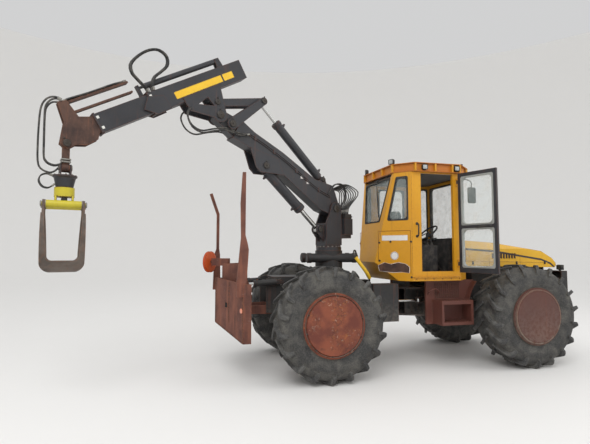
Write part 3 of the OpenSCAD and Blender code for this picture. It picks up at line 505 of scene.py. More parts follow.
class Piece:
    """A mesh put together from prisms, tubes and turned forms. The pen turns drawing axes into a place."""

    def __init__(self, pen=at):
        self.mesh = bmesh.new()
        self.pen = pen

    def skin(self, rings, capped=False, closed=False):
        """Faces between rings of as many places."""
        rings = [[self.mesh.verts.new(place) for place in ring] for ring in rings]
        for a, b in zip(rings, rings[1:] + (rings[:1] if closed else [])):
            for i in range(len(a)):
                j = (i + 1) % len(a)
                self.mesh.faces.new((a[i], a[j], b[j], b[i]))
        if capped:
            self.mesh.faces.new(rings[0][::-1])
            self.mesh.faces.new(rings[-1])
        return self

    def prism(self, outline, low, high, pen=None):
        """outline lies in the pen's first and third axes, and the prism runs from low to high along its second."""
        pen = pen or self.pen
        return self.skin([[pen(x, side, z) for x, z in outline] for side in (low, high)], True)

    def slab(self, outline, low, high, pen=None):
        """outline lies in the pen's first and second axes, and the slab runs from low to high along its third."""
        pen = pen or self.pen
        return self.skin([[pen(x, y, z) for x, y in outline] for z in (low, high)], True)

    def block(self, low, high):
        x0, y0, z0 = low
        x1, y1, z1 = high
        return self.prism(oblong(x0, z0, x1, z1), min(y0, y1), max(y0, y1))

    def tube(self, path, radius, sides=10):
        """A round bar along places of the frame, in metres."""
        rings = []
        up = Vector((0.31, 0.17, 0.94))
        for i, spot in enumerate(path):
            ahead = (path[min(i + 1, len(path) - 1)] - path[max(i - 1, 0)]).normalized()
            across = ahead.cross(up).normalized()
            up = across.cross(ahead).normalized()
            rings.append([spot + radius * (cos(a) * across + sin(a) * up) for a in turns(sides)])
        return self.skin(rings, True)

    def bar(self, spots, radius, sides=10, count=0):
        """A round bar along spots in the pen's axes, as a smooth curve of count points where that is given."""
        path = [self.pen(*spot) for spot in spots]
        return self.tube(smooth_path(path, count) if count else path, radius, sides)

    def turned(self, centre, axis, profile, sides=32, capped=False):
        """profile holds (radius, distance along the axis) in metres, turned about the axis."""
        axis = Vector(axis).normalized()
        across = axis.orthogonal().normalized()
        up = axis.cross(across)
        rings = [[centre + axis * along + radius * (cos(a) * across + sin(a) * up) for a in turns(sides)]
                 for radius, along in profile]
        return self.skin(rings, capped)

    def bolt(self, centre, axis, size=0.012, high=0.009):
        """A hexagon head on its washer."""
        self.turned(centre, axis, [(size * 1.35, -0.001), (size * 1.35, 0.002)], 16, True)
        return self.turned(centre, axis, [(size, 0.001), (size, high), (size * 0.85, high * 1.15)], 6, True)

    def ring_plate(self, outer, inner, front, back, pen=None):
        """A flat ring between two outlines in the pen's first two axes, as slab()."""
        pen = pen or self.pen
        return self.skin([[pen(u, v, off) for u, v in outline] for outline, off in
                          ((outer, front), (inner, front), (inner, back), (outer, back))], closed=True)

    def made(self, name, material):
        """The mesh as an object of the scene, smooth all over."""
        bmesh.ops.recalc_face_normals(self.mesh, faces=self.mesh.faces)
        for face in self.mesh.faces:
            face.smooth = True
        data = bpy.data.meshes.new(name)
        self.mesh.to_mesh(data)
        self.mesh.free()
        data.materials.append(material)
        return placed(name, data)

    def finish(self, name, body, material, bevel=0.0, angle=35, replaces=()):
        """The object with its sharp edges, riding on its body."""
        made = self.made(name, material)
        made.data.set_sharp_from_angle(angle=radians(angle))
        if bevel:
            worn = made.modifiers.new("worn_edges", "BEVEL")
            worn.width = bevel
            worn.segments = 2
            worn.limit_method = "ANGLE"
            worn.angle_limit = radians(angle)
        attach(made, moving_body(body))
        if replaces:
            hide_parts(*replaces)
        return made


CRIMP_LENGTH = 0.045


def hose(name, body, pen, spots, diameter=0.022, count=24, second_body=None):
    """A hydraulic hose with crimped ends. Over a joint it bends between two bodies."""
    path = smooth_path([pen(*spot) for spot in spots], count)
    length = sum((b - a).length for a, b in zip(path, path[1:]))
    if second_body:
        made = Piece().tube(path, diameter / 2).made(name, HOSE)
        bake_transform(made, moving_body(body), moving_body(second_body), start=path[2], end=path[-3])
    else:
        curve = bpy.data.curves.new(name, "CURVE")
        curve.dimensions = "3D"
        curve.bevel_depth = diameter / 2
        curve.bevel_resolution = 3
        curve.use_fill_caps = True
        spline = curve.splines.new("POLY")
        spline.points.add(len(path) - 1)
        for point, spot in zip(spline.points, path):
            point.co = (*spot, 1)
        curve.materials.append(HOSE)
        made = placed(name, curve)
        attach(made, moving_body(body))
    crimps = Piece()
    for end, inward in (path[:2], path[:-3:-1])[:1 if second_body else 2]:
        crimps.tube([end, end + (inward - end).normalized() * CRIMP_LENGTH], diameter * 0.72, 12)
    ends = crimps.finish(name + "_crimps", body, STEEL, 0.0015)


# Tyres and rims

FLANK = [(432, 240), (446, 262), (472, 268), (520, 283), (545, 291), (552, 291), (590, 299), (640, 300), (654, 291),
         (664, 291), (700, 284), (735, 268), (752, 250), (760, 230), (764, 130), (766, 0)]
LUGS_A_SIDE = 18
LUG_START = radians(6.2)
LUG_HALF_T = 25
LUG_LEAN = radians(37)
LUG_IN, LUG_OUT, LUG_TOP = 20, 318, 814
# A lug leans more at its inner end, straightens until LUG_STRAIGHT from the middle plane, and bows by LUG_BOW
LEAN_INSIDE, LEAN_LOST, LUG_STRAIGHT, LUG_BOW = 1.35, 0.7, 290, 0.0011
LUG_SIDE = [(LUG_IN, 740), (LUG_IN, LUG_TOP), (150, LUG_TOP), (262, LUG_TOP), (290, 804), (308, 770),
            (LUG_OUT, 742), (LUG_OUT - 2, 690), (LUG_OUT - 8, 668), (230, 668)]


def tyre(name, wheel_x, side):
    """A carcass turned from its flank, and curved lugs wound round it from both sides."""
    hub = at(wheel_x, side * HALF_TRACK, WHEEL_Z)
    profile = [(r / 1000, y / 1000) for r, y in FLANK] + [(r / 1000, -y / 1000) for r, y in FLANK[-2::-1]]
    middle = (LUG_IN + LUG_OUT) / 2
    lugs = Piece()
    for k in range(2 * LUGS_A_SIDE):
        turn = pi * k / LUGS_A_SIDE + LUG_START
        hand = 1 if k % 2 else -1

        def pen(along, across, radius):
            lean = LUG_LEAN * (LEAN_INSIDE - LEAN_LOST * min(along, LUG_STRAIGHT) / LUG_STRAIGHT)
            y = min(along + across * sin(lean), LUG_OUT - 1)
            x = -(along - middle) * tan(LUG_LEAN) + (along - middle) ** 2 * LUG_BOW + across * cos(lean)
            wound = turn + x / LUG_TOP
            return hub + Vector((radius * sin(wound), y * hand, radius * cos(wound))) / 1000
        lugs.prism(LUG_SIDE, -LUG_HALF_T, LUG_HALF_T, pen)
    lugs.finish(name + "_lugs", name, TYRE_LUG, 0.007, 40)
    Piece().turned(hub, (0, 1, 0), profile, 96).finish(name + "_carcass", name, TYRE, 0, 40, [name])


RIM_FACE = 318
BOLT_RING = 0.412
LIP_REAR, LIP_FRONT = (0.421, -0.026), (0.408, -0.014)


def rim_fittings(name, wheel_x, side, edge_bolts):
    """The dusty lip round a wheel disc and, on the rear wheels, the bolts on its sloping edge."""
    out = (0, side, 0)
    face = at(wheel_x, side * (HALF_TRACK + RIM_FACE), WHEEL_Z)
    low, back = LIP_REAR if edge_bolts else LIP_FRONT
    lip = Piece().turned(face, out, [(low, back), (low + 0.002, -0.004), (low + 0.004, -0.001),
                                     (0.427, -0.006), (0.429, -0.03)], 72)
    lip.finish(name + "_lip", name, PAINT["dusty_rim"], 0, 30)
    if edge_bolts:
        heads = Piece()
        for turn in turns(10, 0.35):
            spot = Vector((BOLT_RING * cos(turn), -0.017 * side, BOLT_RING * sin(turn)))
            heads.bolt(face + spot, out, 0.010, 0.016)
        heads.finish(name + "_rim_bolts", name, PIN_STEEL, 0.0015)


for end, wheel_x in (("front", WHEELBASE), ("rear", 0)):
    for hand, side in SIDES:
        tyre(f"tyre_{end}_{hand}", wheel_x, side)
        rim_fittings(f"rim_{end}_{hand}", wheel_x, side, end == "rear")

# Cab walls and windows: u runs along a wall, off is how far a place stands out of its outer face

CAB_HALF = 800
REAR_FOOT, REAR_LEAN = (1084, 1670), 235 / 1480
FRONT_X = 2700
CHAMFER_X, CHAMFER_TURN = 1519, radians(47.8)
NOSE_X, NOSE_TURN = 2400, radians(43)


def rear_wall(y, z, off):
    return at(REAR_FOOT[0] + (z - REAR_FOOT[1]) * REAR_LEAN - off, y, z)


def front_wall(y, z, off):
    return at(FRONT_X + off, y, z)


def corner_wall(side, x, way, angle):
    """A slanting corner of the cab that starts at x and runs back (way -1) or ahead (way 1)."""
    def spot(along, z, off):
        return at(x + way * (along * cos(angle) + off * sin(angle)),
                  side * (CAB_HALF - along * sin(angle) + off * cos(angle)), z)
    return spot


def chamfer_wall(side):
    return corner_wall(side, CHAMFER_X, -1, CHAMFER_TURN)


DOOR_OPEN = radians(110)
HINGE = (2355, -825)
DOOR_FACE = 845


def right_door(x, z, off):
    """A place on the open right door, drawn closed."""
    dx, dy = x - HINGE[0], -DOOR_FACE - off - HINGE[1]
    return at(HINGE[0] + dx * cos(DOOR_OPEN) - dy * sin(DOOR_OPEN),
              HINGE[1] + dx * sin(DOOR_OPEN) + dy * cos(DOOR_OPEN), z)


def left_door(x, z, off):
    return at(x, DOOR_FACE + off, z)


DOORS = (("right", right_door), ("left", left_door))


def gasket(made, wall, hole, deep=45, lip=13, wide=26, corner=58):
    """A rubber section round a window hole, on both faces of the wall, with round corners to the glass."""
    outer = rounded(grown(hole, lip), 30)
    inner = rounded(grown(hole, lip - wide), corner)
    crown = rounded(grown(hole, lip - wide / 2), 46)
    for near, far, rise in ((-1, 1, 7), (-deep + 1, -deep - 1, -7)):
        made.ring_plate(outer, crown, far, near, wall)
        made.ring_plate(crown, inner, far + rise, near, wall)
    made.ring_plate(crown, inner, -1, 1 - deep, wall)


REAR_HOLE = [(-290, 2360), (290, 2360), (490, 3080), (-490, 3080)]
QUARTER_HOLE = [(70, 2370), (410, 2370), (250, 3070), (70, 3070)]
shell_gaskets = Piece()
gasket(shell_gaskets, rear_wall, REAR_HOLE)
gasket(shell_gaskets, front_wall, oblong(-470, 2080, 470, 3070))
for side in (RIGHT, LEFT):
    gasket(shell_gaskets, chamfer_wall(side), QUARTER_HOLE)
    gasket(shell_gaskets, corner_wall(side, NOSE_X, 1, NOSE_TURN), oblong(70, 2080, 345, 3070))
shell_gaskets.finish("cab_window_gaskets", "cab_shell", RUBBER, 0, 50)
for hand, wall in DOORS:
    seals = Piece()
    for low, high in ((2285, 3070), (1600, 2215)):
        gasket(seals, wall, oblong(1720, low, 2270, high), 40, 10, 24, 75)
    seals.finish(f"door_{hand}_gaskets", f"door_{hand}", GREY_RUBBER if hand == "right" else RUBBER, 0, 50)

# Cab roof and lamps

ROOF_LOW, ROOF_HIGH = 3150, 3300
ROOF_PLAN = [(1290, -560), (1560, -850), (2420, -850), (2760, -560), (2760, 560), (2420, 850), (1560, 850),
             (1290, 560)]
roof = Piece()
for inset, low, high in ((42, ROOF_LOW, ROOF_HIGH - 4), (0, ROOF_HIGH - 13, ROOF_HIGH), (0, ROOF_LOW, ROOF_LOW + 13),
                         (150, ROOF_HIGH - 8, ROOF_HIGH - 2)):
    roof.slab(grown(ROOF_PLAN, -inset), low, high)
# The roof panel gets the yellow paint darkened to orange as painted shade, while its ribs keep the plain yellow.
roof.finish("roof_panel", "cab_roof", PAINT["orange_yellow"], 0.004, replaces=["cab_roof"])
ribs = Piece()
for side in (RIGHT, LEFT):
    for x in (1579, 1946, 2266, 2405):
        ribs.block((x - 15, side * 805, ROOF_LOW + 2), (x + 15, side * 848, ROOF_HIGH - 6))
for y in (-550, -180, 180, 550):
    for rear, front in ((1292, 1335), (2715, 2758)):
        ribs.block((rear, y - 14, ROOF_LOW + 2), (front, y + 14, ROOF_HIGH - 6))
ribs.finish("roof_ribs", "cab_roof", PAINT["yellow"], 0.003)


def work_lamp(name, body, spot, aim, wide=92, high=78, lens=None):
    """A square work lamp on its foot: spot is its middle, aim the way that it shines, level."""
    aim = Vector((*aim, 0)).normalized()
    across = Vector((-aim.y, aim.x, 0))

    def pen(x, y, z):
        return spot + (aim * x + across * y + Vector((0, 0, z))) / 1000

    def shell(made, sections):
        made.skin([[pen(x, y * shrink, z * shrink) for y, z in rounded(square, 12, 3)]
                   for shrink, x in sections], True)
    half_w, half_h = wide / 2, high / 2
    square = oblong(-half_w, -half_h, half_w, half_h)
    case = Piece(pen)
    shell(case, ((0.55, -34), (0.85, -26), (1.0, 8), (1.0, 26), (0.93, 29), (0.86, 27), (0.84, 16)))
    case.block((-14, -16, -half_h - 16), (10, 16, -half_h + 4))
    case.bolt(pen(-2, 17, -half_h - 8), across, 0.007, 0.006)
    case.finish(name, body, RUBBER, 0.0015)
    glass = Piece()
    shell(glass, ((0.85, 15), (0.84, 20), (0.6, 24), (0.25, 26)))
    glass.finish(name + "_lens", body, lens or LENS)


for hand, side in SIDES:
    for number, x in enumerate((1743, 2340)):
        work_lamp(f"roof_lamp_{hand}_{number}", "cab_roof", at(x, side * 838, 3226), (0, side), 96, 80)
    work_lamp(f"rear_lamp_{hand}", "cab_roof", at(1330, side * 500, 3352), (-1, side * 0.35), 104, 84)
    work_lamp(f"front_lamp_{hand}", "cab_roof", at(2700, side * 430, 3352), (1, side * 0.1), 104, 84)

# Cab fittings


def label(name, body, wall, low, high, material, corner=8):
    """A blank label or plate on a wall."""
    Piece(wall).slab(rounded(oblong(*low, *high), corner), -1, 1.6).finish(name, body, material)


for hand, side in SIDES:
    wall = chamfer_wall(side)
    label(f"white_band_{hand}", "cab_shell", wall, (75, 2030), (515, 2118), PAINT["label_white"])
    disc = Piece(wall)
    for radius, high in ((68, 2.0), (56, 3.0)):
        disc.slab([(300 + radius * cos(a), 1782 + radius * sin(a)) for a in turns(40)], -1, high)
    disc.finish(f"blank_disc_{hand}", "cab_shell", PAINT["label_white"])
    latches = Piece()
    for along, z in ((560, 2000), (365, 2012), (20, 2010), (20, 1440), (560, 1700)):
        latches.turned(wall(along, z, -1), wall(along, z, 1) - wall(along, z, 0),
                       [(0.016, 0), (0.016, 0.012), (0.012, 0.017), (0.004, 0.019)], 20, True)
    latches.finish(f"panel_latches_{hand}", "cab_shell", IRON)
    seams = Piece(wall)
    for a, b in (((578, 1690), (578, 2190)), ((30, 1500), (30, 2190)), ((30, 2190), (578, 2190))):
        seams.bar([(*a, 1), (*b, 1)], 0.004, 6)
    seams.finish(f"panel_seams_{hand}", "cab_shell", RUST_SEAM)
PATCH_MID = Vector((320, 1590))
PATCH = rounded([(60, 1505), (180, 1520), (330, 1512), (560, 1530), (585, 1620), (470, 1668), (360, 1640),
                 (240, 1672), (120, 1650), (55, 1600)], 14, 4)
for grow, material, rise, name in ((9, PAINT["label_white"], 0.9, "flaked_edge"), (0, RUSTY_DARK, 1.6, "rust_patch")):
    spread = [p + (p - PATCH_MID).normalized() * grow for p in PATCH]
    Piece(chamfer_wall(RIGHT)).slab(spread, -1, rise).finish(name, "cab_shell", material)

for hand, side in SIDES:
    y = side * (CAB_HALF + 1)
    grab = Piece()
    grab.bar([(1608, y, 2300), (1608, y + side * 48, 2285), (1606, y + side * 52, 2200),
              (1604, y + side * 48, 2110), (1604, y, 2098)], 0.0105, 12, 24)
    for z in (2300, 2098):
        grab.turned(at(1606, y, z), (0, side, 0), [(0.024, -0.002), (0.024, 0.004), (0.012, 0.006)], 20, True)
    grab.finish(f"door_grab_{hand}", "cab_shell", RUBBER)
    sill = Piece()
    sill.block((1530, y, 1428), (2400, y + side * 26, 1444))
    for x in range(1580, 2400, 160):
        sill.bolt(at(x, y, 1408), (0, side, 0), 0.009, 0.007)
    sill.finish(f"cab_sill_{hand}", "cab_shell", PAINT["yellow"], 0.002)

for hand, wall in DOORS:
    latch = Piece(wall)
    latch.slab(rounded(oblong(1672, 2215, 1712, 2290), 8), -2, 10)
    latch.bar([(1692, 2255, 8), (1692, 2255, 34), (1780, 2250, 36)], 0.009)
    for z in (1650, 3000):
        latch.slab(rounded(oblong(2268, z - 30, 2326, z + 30), 8), -1, 6)
        for x in (2282, 2312):
            for up in (-14, 14):
                latch.bolt(wall(x, z + up, 5), wall(x, z, 2) - wall(x, z, 1), 0.007, 0.005)
    latch.finish(f"door_{hand}_latch", f"door_{hand}", IRON, 0.001)
    pull = Piece(wall).bar([(1740, 2240, -40), (1740, 2240, -84), (1860, 2246, -90), (1980, 2240, -84),
                            (1980, 2240, -40)], 0.01, 10, 20)
    pull.finish(f"door_{hand}_inner_bar", f"door_{hand}", RUBBER)

wiper = Piece(rear_wall)
wiper.turned(rear_wall(0, 3092, 0), rear_wall(0, 3092, 1) - rear_wall(0, 3092, 0),
             [(0.03, -0.002), (0.03, 0.012), (0.014, 0.018), (0.014, 0.03)], 20, True)
wiper.bar([(0, 3092, 26), (-110, 2850, 20), (-190, 2640, 12)], 0.006, 8)
wiper.bar([(-60, 2890, 9), (-250, 2440, 9)], 0.008, 6)
wiper.finish("rear_wiper", "cab_shell", RUBBER)

mirror = Piece()
mirror.bar([(2420, -800, 3040), (2470, -900, 3040), (2520, -960, 2990), (2520, -965, 2900)], 0.009, 10, 20)
mirror.prism(rounded(oblong(2450, 2640, 2590, 2900), 24), -985, -955)
mirror.finish("side_mirror", "cab_shell", RUBBER, 0.004)

# Cab inside

levers = Piece()
for x, side in ((2060, RIGHT), (2140, RIGHT), (2060, LEFT), (2140, LEFT)):
    foot = at(x, side * 360, 1958)
    levers.turned(foot, UP, [(0.034, 0), (0.03, 0.012), (0.014, 0.04), (0.009, 0.06), (0.009, 0.14)], 20)
    levers.turned(foot, UP, [(0.009, 0.135), (0.021, 0.15), (0.024, 0.175), (0.018, 0.195), (0.006, 0.2)], 20, True)
for x, y in ((2450, -200), (2520, -130)):
    levers.bar([(x, y, 1470), (x - 60, y, 1560), (x - 70, y, 1600)], 0.012)
for y, radius, shoulder in ((180, 0.07, 0.062), (330, 0.045, 0.04)):
    levers.turned(at(2530, y, 2060), (-0.5, 0, 1), [(radius, 0), (radius, 0.02), (shoulder, 0.026)], 32, True)
levers.finish("cab_levers", "controls", RUBBER)
lining = Piece().slab([(1360, -540), (1560, -740), (2400, -740), (2640, -500), (2640, 500), (2400, 740), (1560, 740),
                       (1360, 540)], 3132, 3148)
lining.finish("roof_lining", "cab_roof", TRIM, 0.004)
mat = Piece().slab(rounded(oblong(1620, -740, 2330, 740), 30), 1421, 1428)
for x in range(1650, 2320, 45):
    mat.block((x, -700, 1427), (x + 12, 700, 1431))
mat.finish("cab_floor_mat", "cab_shell", RUBBER)

CUSHION_STEPS = 30
WELT_PULL, CUSHION_RIM, CHANNEL_WIDTH = 0.035, 0.16, 0.016


def cushion(name, outline, base, thick, lean, places):
    """A padded cushion: a crowned grid whose rim is pulled in by its welt, with channels at places."""
    made = Piece()
    (u0, v0), (u1, v1) = outline
    steps = CUSHION_STEPS
    front, back = [], []
    for i in range(steps + 1):
        row, under = [], []
        for j in range(steps + 1):
            s, t = i / steps, j / steps
            arch, vault = sin(pi * s), sin(pi * t)
            pull = 1 - WELT_PULL * (arch + vault - arch * vault)
            u = (u0 + u1) / 2 + (s - 0.5) * (u1 - u0) * pull
            v = (v0 + v1) / 2 + (t - 0.5) * (v1 - v0) * pull
            rim = min(s, t, 1 - s, 1 - t)
            crown = 1 - max(0.0, 1 - rim / CUSHION_RIM) ** 2.2
            channel = sum(exp(-((s - c) / CHANNEL_WIDTH) ** 2) for c in places)
            high = thick * (0.42 + 0.5 * crown + 0.08 * arch * vault - 0.16 * channel * crown)
            row.append(made.mesh.verts.new(lean(u, v, base + high)))
            under.append(made.mesh.verts.new(lean(u, v, base + thick * 0.1 * (1 - crown))))
        front.append(row)
        back.append(under)
    for grid in (front, back):
        for i in range(steps):
            for j in range(steps):
                made.mesh.faces.new((grid[i][j], grid[i + 1][j], grid[i + 1][j + 1], grid[i][j + 1]))
    edge = [(i, 0) for i in range(steps)] + [(steps, j) for j in range(steps)]
    edge += [(i, steps) for i in range(steps, 0, -1)] + [(0, j) for j in range(steps, 0, -1)]
    for a, b in zip(edge, edge[1:] + edge[:1]):
        made.mesh.faces.new((front[a[0]][a[1]], front[b[0]][b[1]], back[b[0]][b[1]], back[a[0]][a[1]]))
    pad = made.finish(name, "seat", SEAT_CLOTH, angle=80)
    soft = pad.modifiers.new("soft", "SUBSURF")
    soft.levels = soft.render_levels = 1


BACK_LEAN = radians(8)
SEAT_TOP, BACK_FRONT = 1890, 1630


def seat_back(u, v, w):
    """A place on the leaning backrest: u up from the floor, w ahead of its board."""
    up = u - SEAT_TOP
    return at(BACK_FRONT + w * cos(BACK_LEAN) - up * sin(BACK_LEAN), v,
              SEAT_TOP + up * cos(BACK_LEAN) + w * sin(BACK_LEAN))


cushion("seat_cushion", ((1720, -240), (2195, 240)), 1770, 125, at, (0.3, 0.62))
cushion("back_cushion", ((1905, -230), (2550, 230)), 20, 115, seat_back, (0.28, 0.55, 0.8))
seat_base = Piece()
seat_base.block((1740, -200, 1421), (2140, 200, 1450))
for z in range(1470, 1740, 44):
    seat_base.slab(rounded(oblong(1780, -170, 2090, 170), 40), z, z + 26)
seat_base.slab(rounded(oblong(1770, -160, 2100, 160), 40), 1448, 1745)
seat_base.slab(rounded(oblong(1712, -245, 2198, 245), 50), 1744, 1774)
seat_base.slab(rounded(oblong(1895, -236, 2560, 236), 60), 0, 24, seat_back)
seat_base.finish("seat_base", "seat", TRIM, 0.004, replaces=["seat"])

# Hood, steps and fenders

HOOD_HALF = 450
HOOD_TOP_LINE = ((2760, 2050), (3350, 2010), (4370, 1860))
STRIPE_LOW, STRIPE_HIGH = 172, 138


def hood_wall(side):
    return lambda x, z, off: at(x, side * (HOOD_HALF + off), z)


for hand, side in SIDES:
    wall = hood_wall(side)
    low = [(x, z - STRIPE_LOW) for x, z in HOOD_TOP_LINE] + [(4560, 1620), (4640, 1560)]
    high = [(x, z - STRIPE_HIGH) for x, z in HOOD_TOP_LINE] + [(4580, 1648), (4660, 1580)]
    stripe = Piece(wall).slab([*low, *high[::-1]], -1, 1.6)
    stripe.finish(f"hood_stripe_{hand}", "hood", PAINT["black"])
    crease = Piece(wall).bar([(2790, 1690, 0), (4500, 1648, 0)], 0.006, 8)
    for x, top in ((3240, 1850), (3900, 1784)):
        crease.bar([(x, top, 0), (x, 1606, 0)], 0.0035, 6)
    crease.finish(f"hood_crease_{hand}", "hood", PAINT["hood_yellow"])
    vents = Piece(wall)
    for x in range(3300, 3800, 58):
        vents.slab(oblong(x, 1730, x + 22, 1818), -1, 5)
        vents.slab(oblong(x + 22, 1726, x + 30, 1822), -1, 12)
    vents.finish(f"hood_vents_{hand}", "hood", PAINT["chassis"], 0.0015)
    catches = Piece()
    for x in (2900, 3820, 4440):
        catches.block((x - 14, side * 449, 1622), (x + 14, side * 462, 1676))
        catches.turned(wall(x, 1640, 0), (0, side, 0), [(0.012, 0.01), (0.012, 0.02), (0.008, 0.024)], 16, True)
    catches.finish(f"hood_catches_{hand}", "hood", RUBBER, 0.0015)

grille = Piece()
for k in range(17):
    y = -330 + k * 660 / 16
    grille.block((4672, y - 4, 1596), (4694, y + 4, 1634))
grille.finish("nose_grille", "hood", RUBBER, 0.001)
for n, y in enumerate((-500, 500)):
    work_lamp(f"nose_lamp_{n}", "nose_guard", at(4735, y, 1560), (1, 0), 130, 96)

FENDER_IN, FENDER_OUT, FENDER_TOP = 862, 876, 1374
FENDER_SWEEP = [radians(a) for a in range(118, 186, 4)]
for hand, side in SIDES:
    treads = Piece()
    low, high = sorted((side * 640, side * 896))
    for z in (720, 1060):
        for x in range(2000, 2560, 52):
            treads.block((x, low + 12, z - 1), (x + 20, high - 10, z + 5))
    treads.finish(f"step_treads_{hand}", "steps", PAINT["primer"], 0.0015)
    mesh_patch = Piece()
    y = side * 634
    for k in range(12):
        mesh_patch.bar([(2020 + k * 40, y, 1085), (2020 + k * 40, y, 1340)], 0.004, 6)
    for k in range(7):
        mesh_patch.bar([(2005, y, 1095 + k * 40), (2475, y, 1095 + k * 40)], 0.004, 6)
    mesh_patch.finish(f"step_mesh_{hand}", "steps", PAINT["chassis"])
    y = side * 632
    hold = Piece().bar([(1880, y, 1150), (1890, y + side * 60, 1200), (1970, y + side * 74, 1238),
                        (2050, y + side * 60, 1200), (2060, y, 1150)], 0.011, 12, 26)
    hold.finish(f"step_hold_{hand}", "steps", PAINT["primer"])
    arc = [(WHEELBASE + radius * cos(a), WHEEL_Z + radius * sin(a))
           for radius, sweep in ((FENDER_OUT, FENDER_SWEEP), (FENDER_IN, FENDER_SWEEP[::-1])) for a in sweep]
    lip = Piece().prism([p for p in arc if p[1] < FENDER_TOP], *sorted((side * 628, side * 742)))
    lip.finish(f"fender_lip_{hand}", "steps", PAINT["primer"], 0.002)
    cap = Piece()
    cap.turned(at(2420, side * 485, 1273), UP, [(0.056, -0.01), (0.056, 0.016), (0.048, 0.024)], 24, True)
    cap.block((2100, side * 380, 1229), (2130, side * 600, 1234))
    cap.finish(f"tank_cap_{hand}", "fuel_tank", IRON, 0.002)

# Crane: the side of the post, boom and jib that counts as positive faces the camera

CRANE_WAY = Vector((cos(SLEW), sin(SLEW), 0))
CRANE_SIDE = Vector((-sin(SLEW), cos(SLEW), 0))
BOOM_PIN, LIFT_LOW, LIFT_HIGH = (-50, 2578), (239, 2221), (1324, 3170)
GUIDE_PIN, APEX, DRAG_PIN, JIBCYL_LOW = (1911, 3720), (1382, 4164), (2145, 4006), (172, 3061)


# Round heads with a grease nipple and a keeper bolt at both ends of each pin
for name, body, pen, (x, z), half, radius in (
        ("boom_pin", "crane_post", on_crane, BOOM_PIN, 156, 0.062),
        ("lift_low_pin", "crane_post", on_crane, LIFT_LOW, 89, 0.046),
        ("lift_high_pin", "main_boom", on_crane, LIFT_HIGH, 126, 0.05),
        ("guide_pin", "main_boom", on_crane, GUIDE_PIN, 146, 0.05),
        ("apex_pin", "guide_link", on_crane, APEX, 147, 0.044),
        ("jib_pin", "jib", on_crane, JIB_PIN, 121, 0.056),
        ("drag_pin", "jib", on_crane, DRAG_PIN, 121, 0.042),
        ("cylinder_pin", "main_boom", on_crane, JIBCYL_LOW, 86, 0.036),
        ("tip_pin", "boom_head", on_jib, (2044, 406), 77, 0.044)):
    heads = Piece()
    up = (pen(x, 0, z + 1) - pen(x, 0, z)).normalized()
    for way in (-CRANE_SIDE, CRANE_SIDE):
        end = pen(x, half if way is CRANE_SIDE else -half, z)
        heads.turned(end, way, [(radius, -0.004), (radius, 0.008), (radius * 0.86, 0.013),
                                (0.008, 0.013), (0.008, 0.022), (0.004, 0.024)], 28, True)
        heads.bolt(end + up * (radius + 0.018), way, 0.008, 0.007)
    heads.finish(name, body, PIN_STEEL, 0.001)

pipes = Piece(on_crane)
for side in (-116, 116):
    for rise in (0, 30):
        pipes.bar([(r, side, z + rise) for r, z in ((60, 2760), (380, 2900), (900, 3230), (1350, 3470), (1620, 3590))],
                  0.010, 10, 30)
for r, z in ((300, 2850), (760, 3130), (1180, 3380), (1520, 3545)):
    for side in (-1, 1):
        pipes.block((r - 16, side * 109, z - 12), (r + 16, side * 130, z + 62))
pipes.finish("boom_pipes", "main_boom", PAINT["black"], 0.001)
jib_pipes = Piece(on_jib)
for up in (586, 556):
    jib_pipes.bar([(-680, -107, up), (780, -107, up)], 0.009)
for along in (-560, -120, 320):
    jib_pipes.block((along - 14, -116, 540), (along + 14, -99, 602))
jib_pipes.finish("jib_pipes", "jib", PAINT["black"], 0.001)


BOOM_HALF, JIB_HALF, MIDDLE_HALF = 110, 100, 83


def boom_wall(r, z, off):
    return on_crane(r, BOOM_HALF + off, z)


def jib_wall(along, up, off):
    return on_jib(along, JIB_HALF + off, up)


for n, (r, z) in enumerate(((520, 3000), (640, 3075))):
    label(f"boom_plate_{n}", "main_boom", boom_wall, (r - 32, z - 44), (r + 32, z + 16), PAINT["label_white"])
label("jib_band", "jib", jib_wall, (-500, 414), (505, 512), PAINT["label_yellow"], 4)
label("jib_band_split", "jib", lambda u, v, off: jib_wall(u, v, off + 1), (-318, 412), (-292, 514), PAINT["black"], 2)

pads = Piece(on_jib)
for along, half, low, high in ((862, JIB_HALF, 345, 625), (1612, MIDDLE_HALF, 362, 608)):
    for side in (-1, 1):
        for up in (low + 40, high - 70):
            pads.block((along - 50, side * (half - 2), up), (along + 4, side * (half + 9), up + 34))
            pads.bolt(on_jib(along - 24, side * (half + 8), up + 17), CRANE_SIDE * side, 0.008, 0.005)
pads.finish("jib_wear_pads", "jib", WHITE_PAD, 0.002)
COLLAR = 12
for name, body, along, half, low, high in (("jib_mouth_collar", "jib", 846, JIB_HALF, 345, 625),
                                           ("middle_collar", "middle_section", 1596, MIDDLE_HALF, 362, 608)):
    collar = Piece(on_jib)
    wide, below, above = half + COLLAR, low - COLLAR, high + COLLAR
    for y0, z0, y1, z1 in ((-wide, below, -half, above), (half, below, wide, above), (-wide, below, wide, low),
                           (-wide, high, wide, above)):
        collar.block((along, y0, z0), (along + 24, y1, z1))
    collar.finish(name, body, PAINT["black"], 0.002)


def gland(name, body, start, end, length, radius):
    """The nut, seal and port blocks at a barrel's open end."""
    start, end = (on_crane(r, 0, z) for r, z in (start, end))
    way = (end - start).normalized()
    mouth_at = start + way * length
    made = Piece().turned(mouth_at, way, [(radius + 0.010, -0.05), (radius + 0.012, -0.045), (radius + 0.012, -0.02),
                                          (radius + 0.006, -0.015), (radius + 0.006, 0.004), (radius - 0.01, 0.008)])
    side = way.cross(CRANE_SIDE).normalized()
    for back in (0.12, length - 0.14):
        foot = mouth_at - way * back + side * radius * 0.9
        made.turned(foot, side, [(0.026, -0.01), (0.026, 0.03), (0.017, 0.036), (0.017, 0.06)], 16, True)
    made.finish(name, body, PAINT["black"], 0.001)


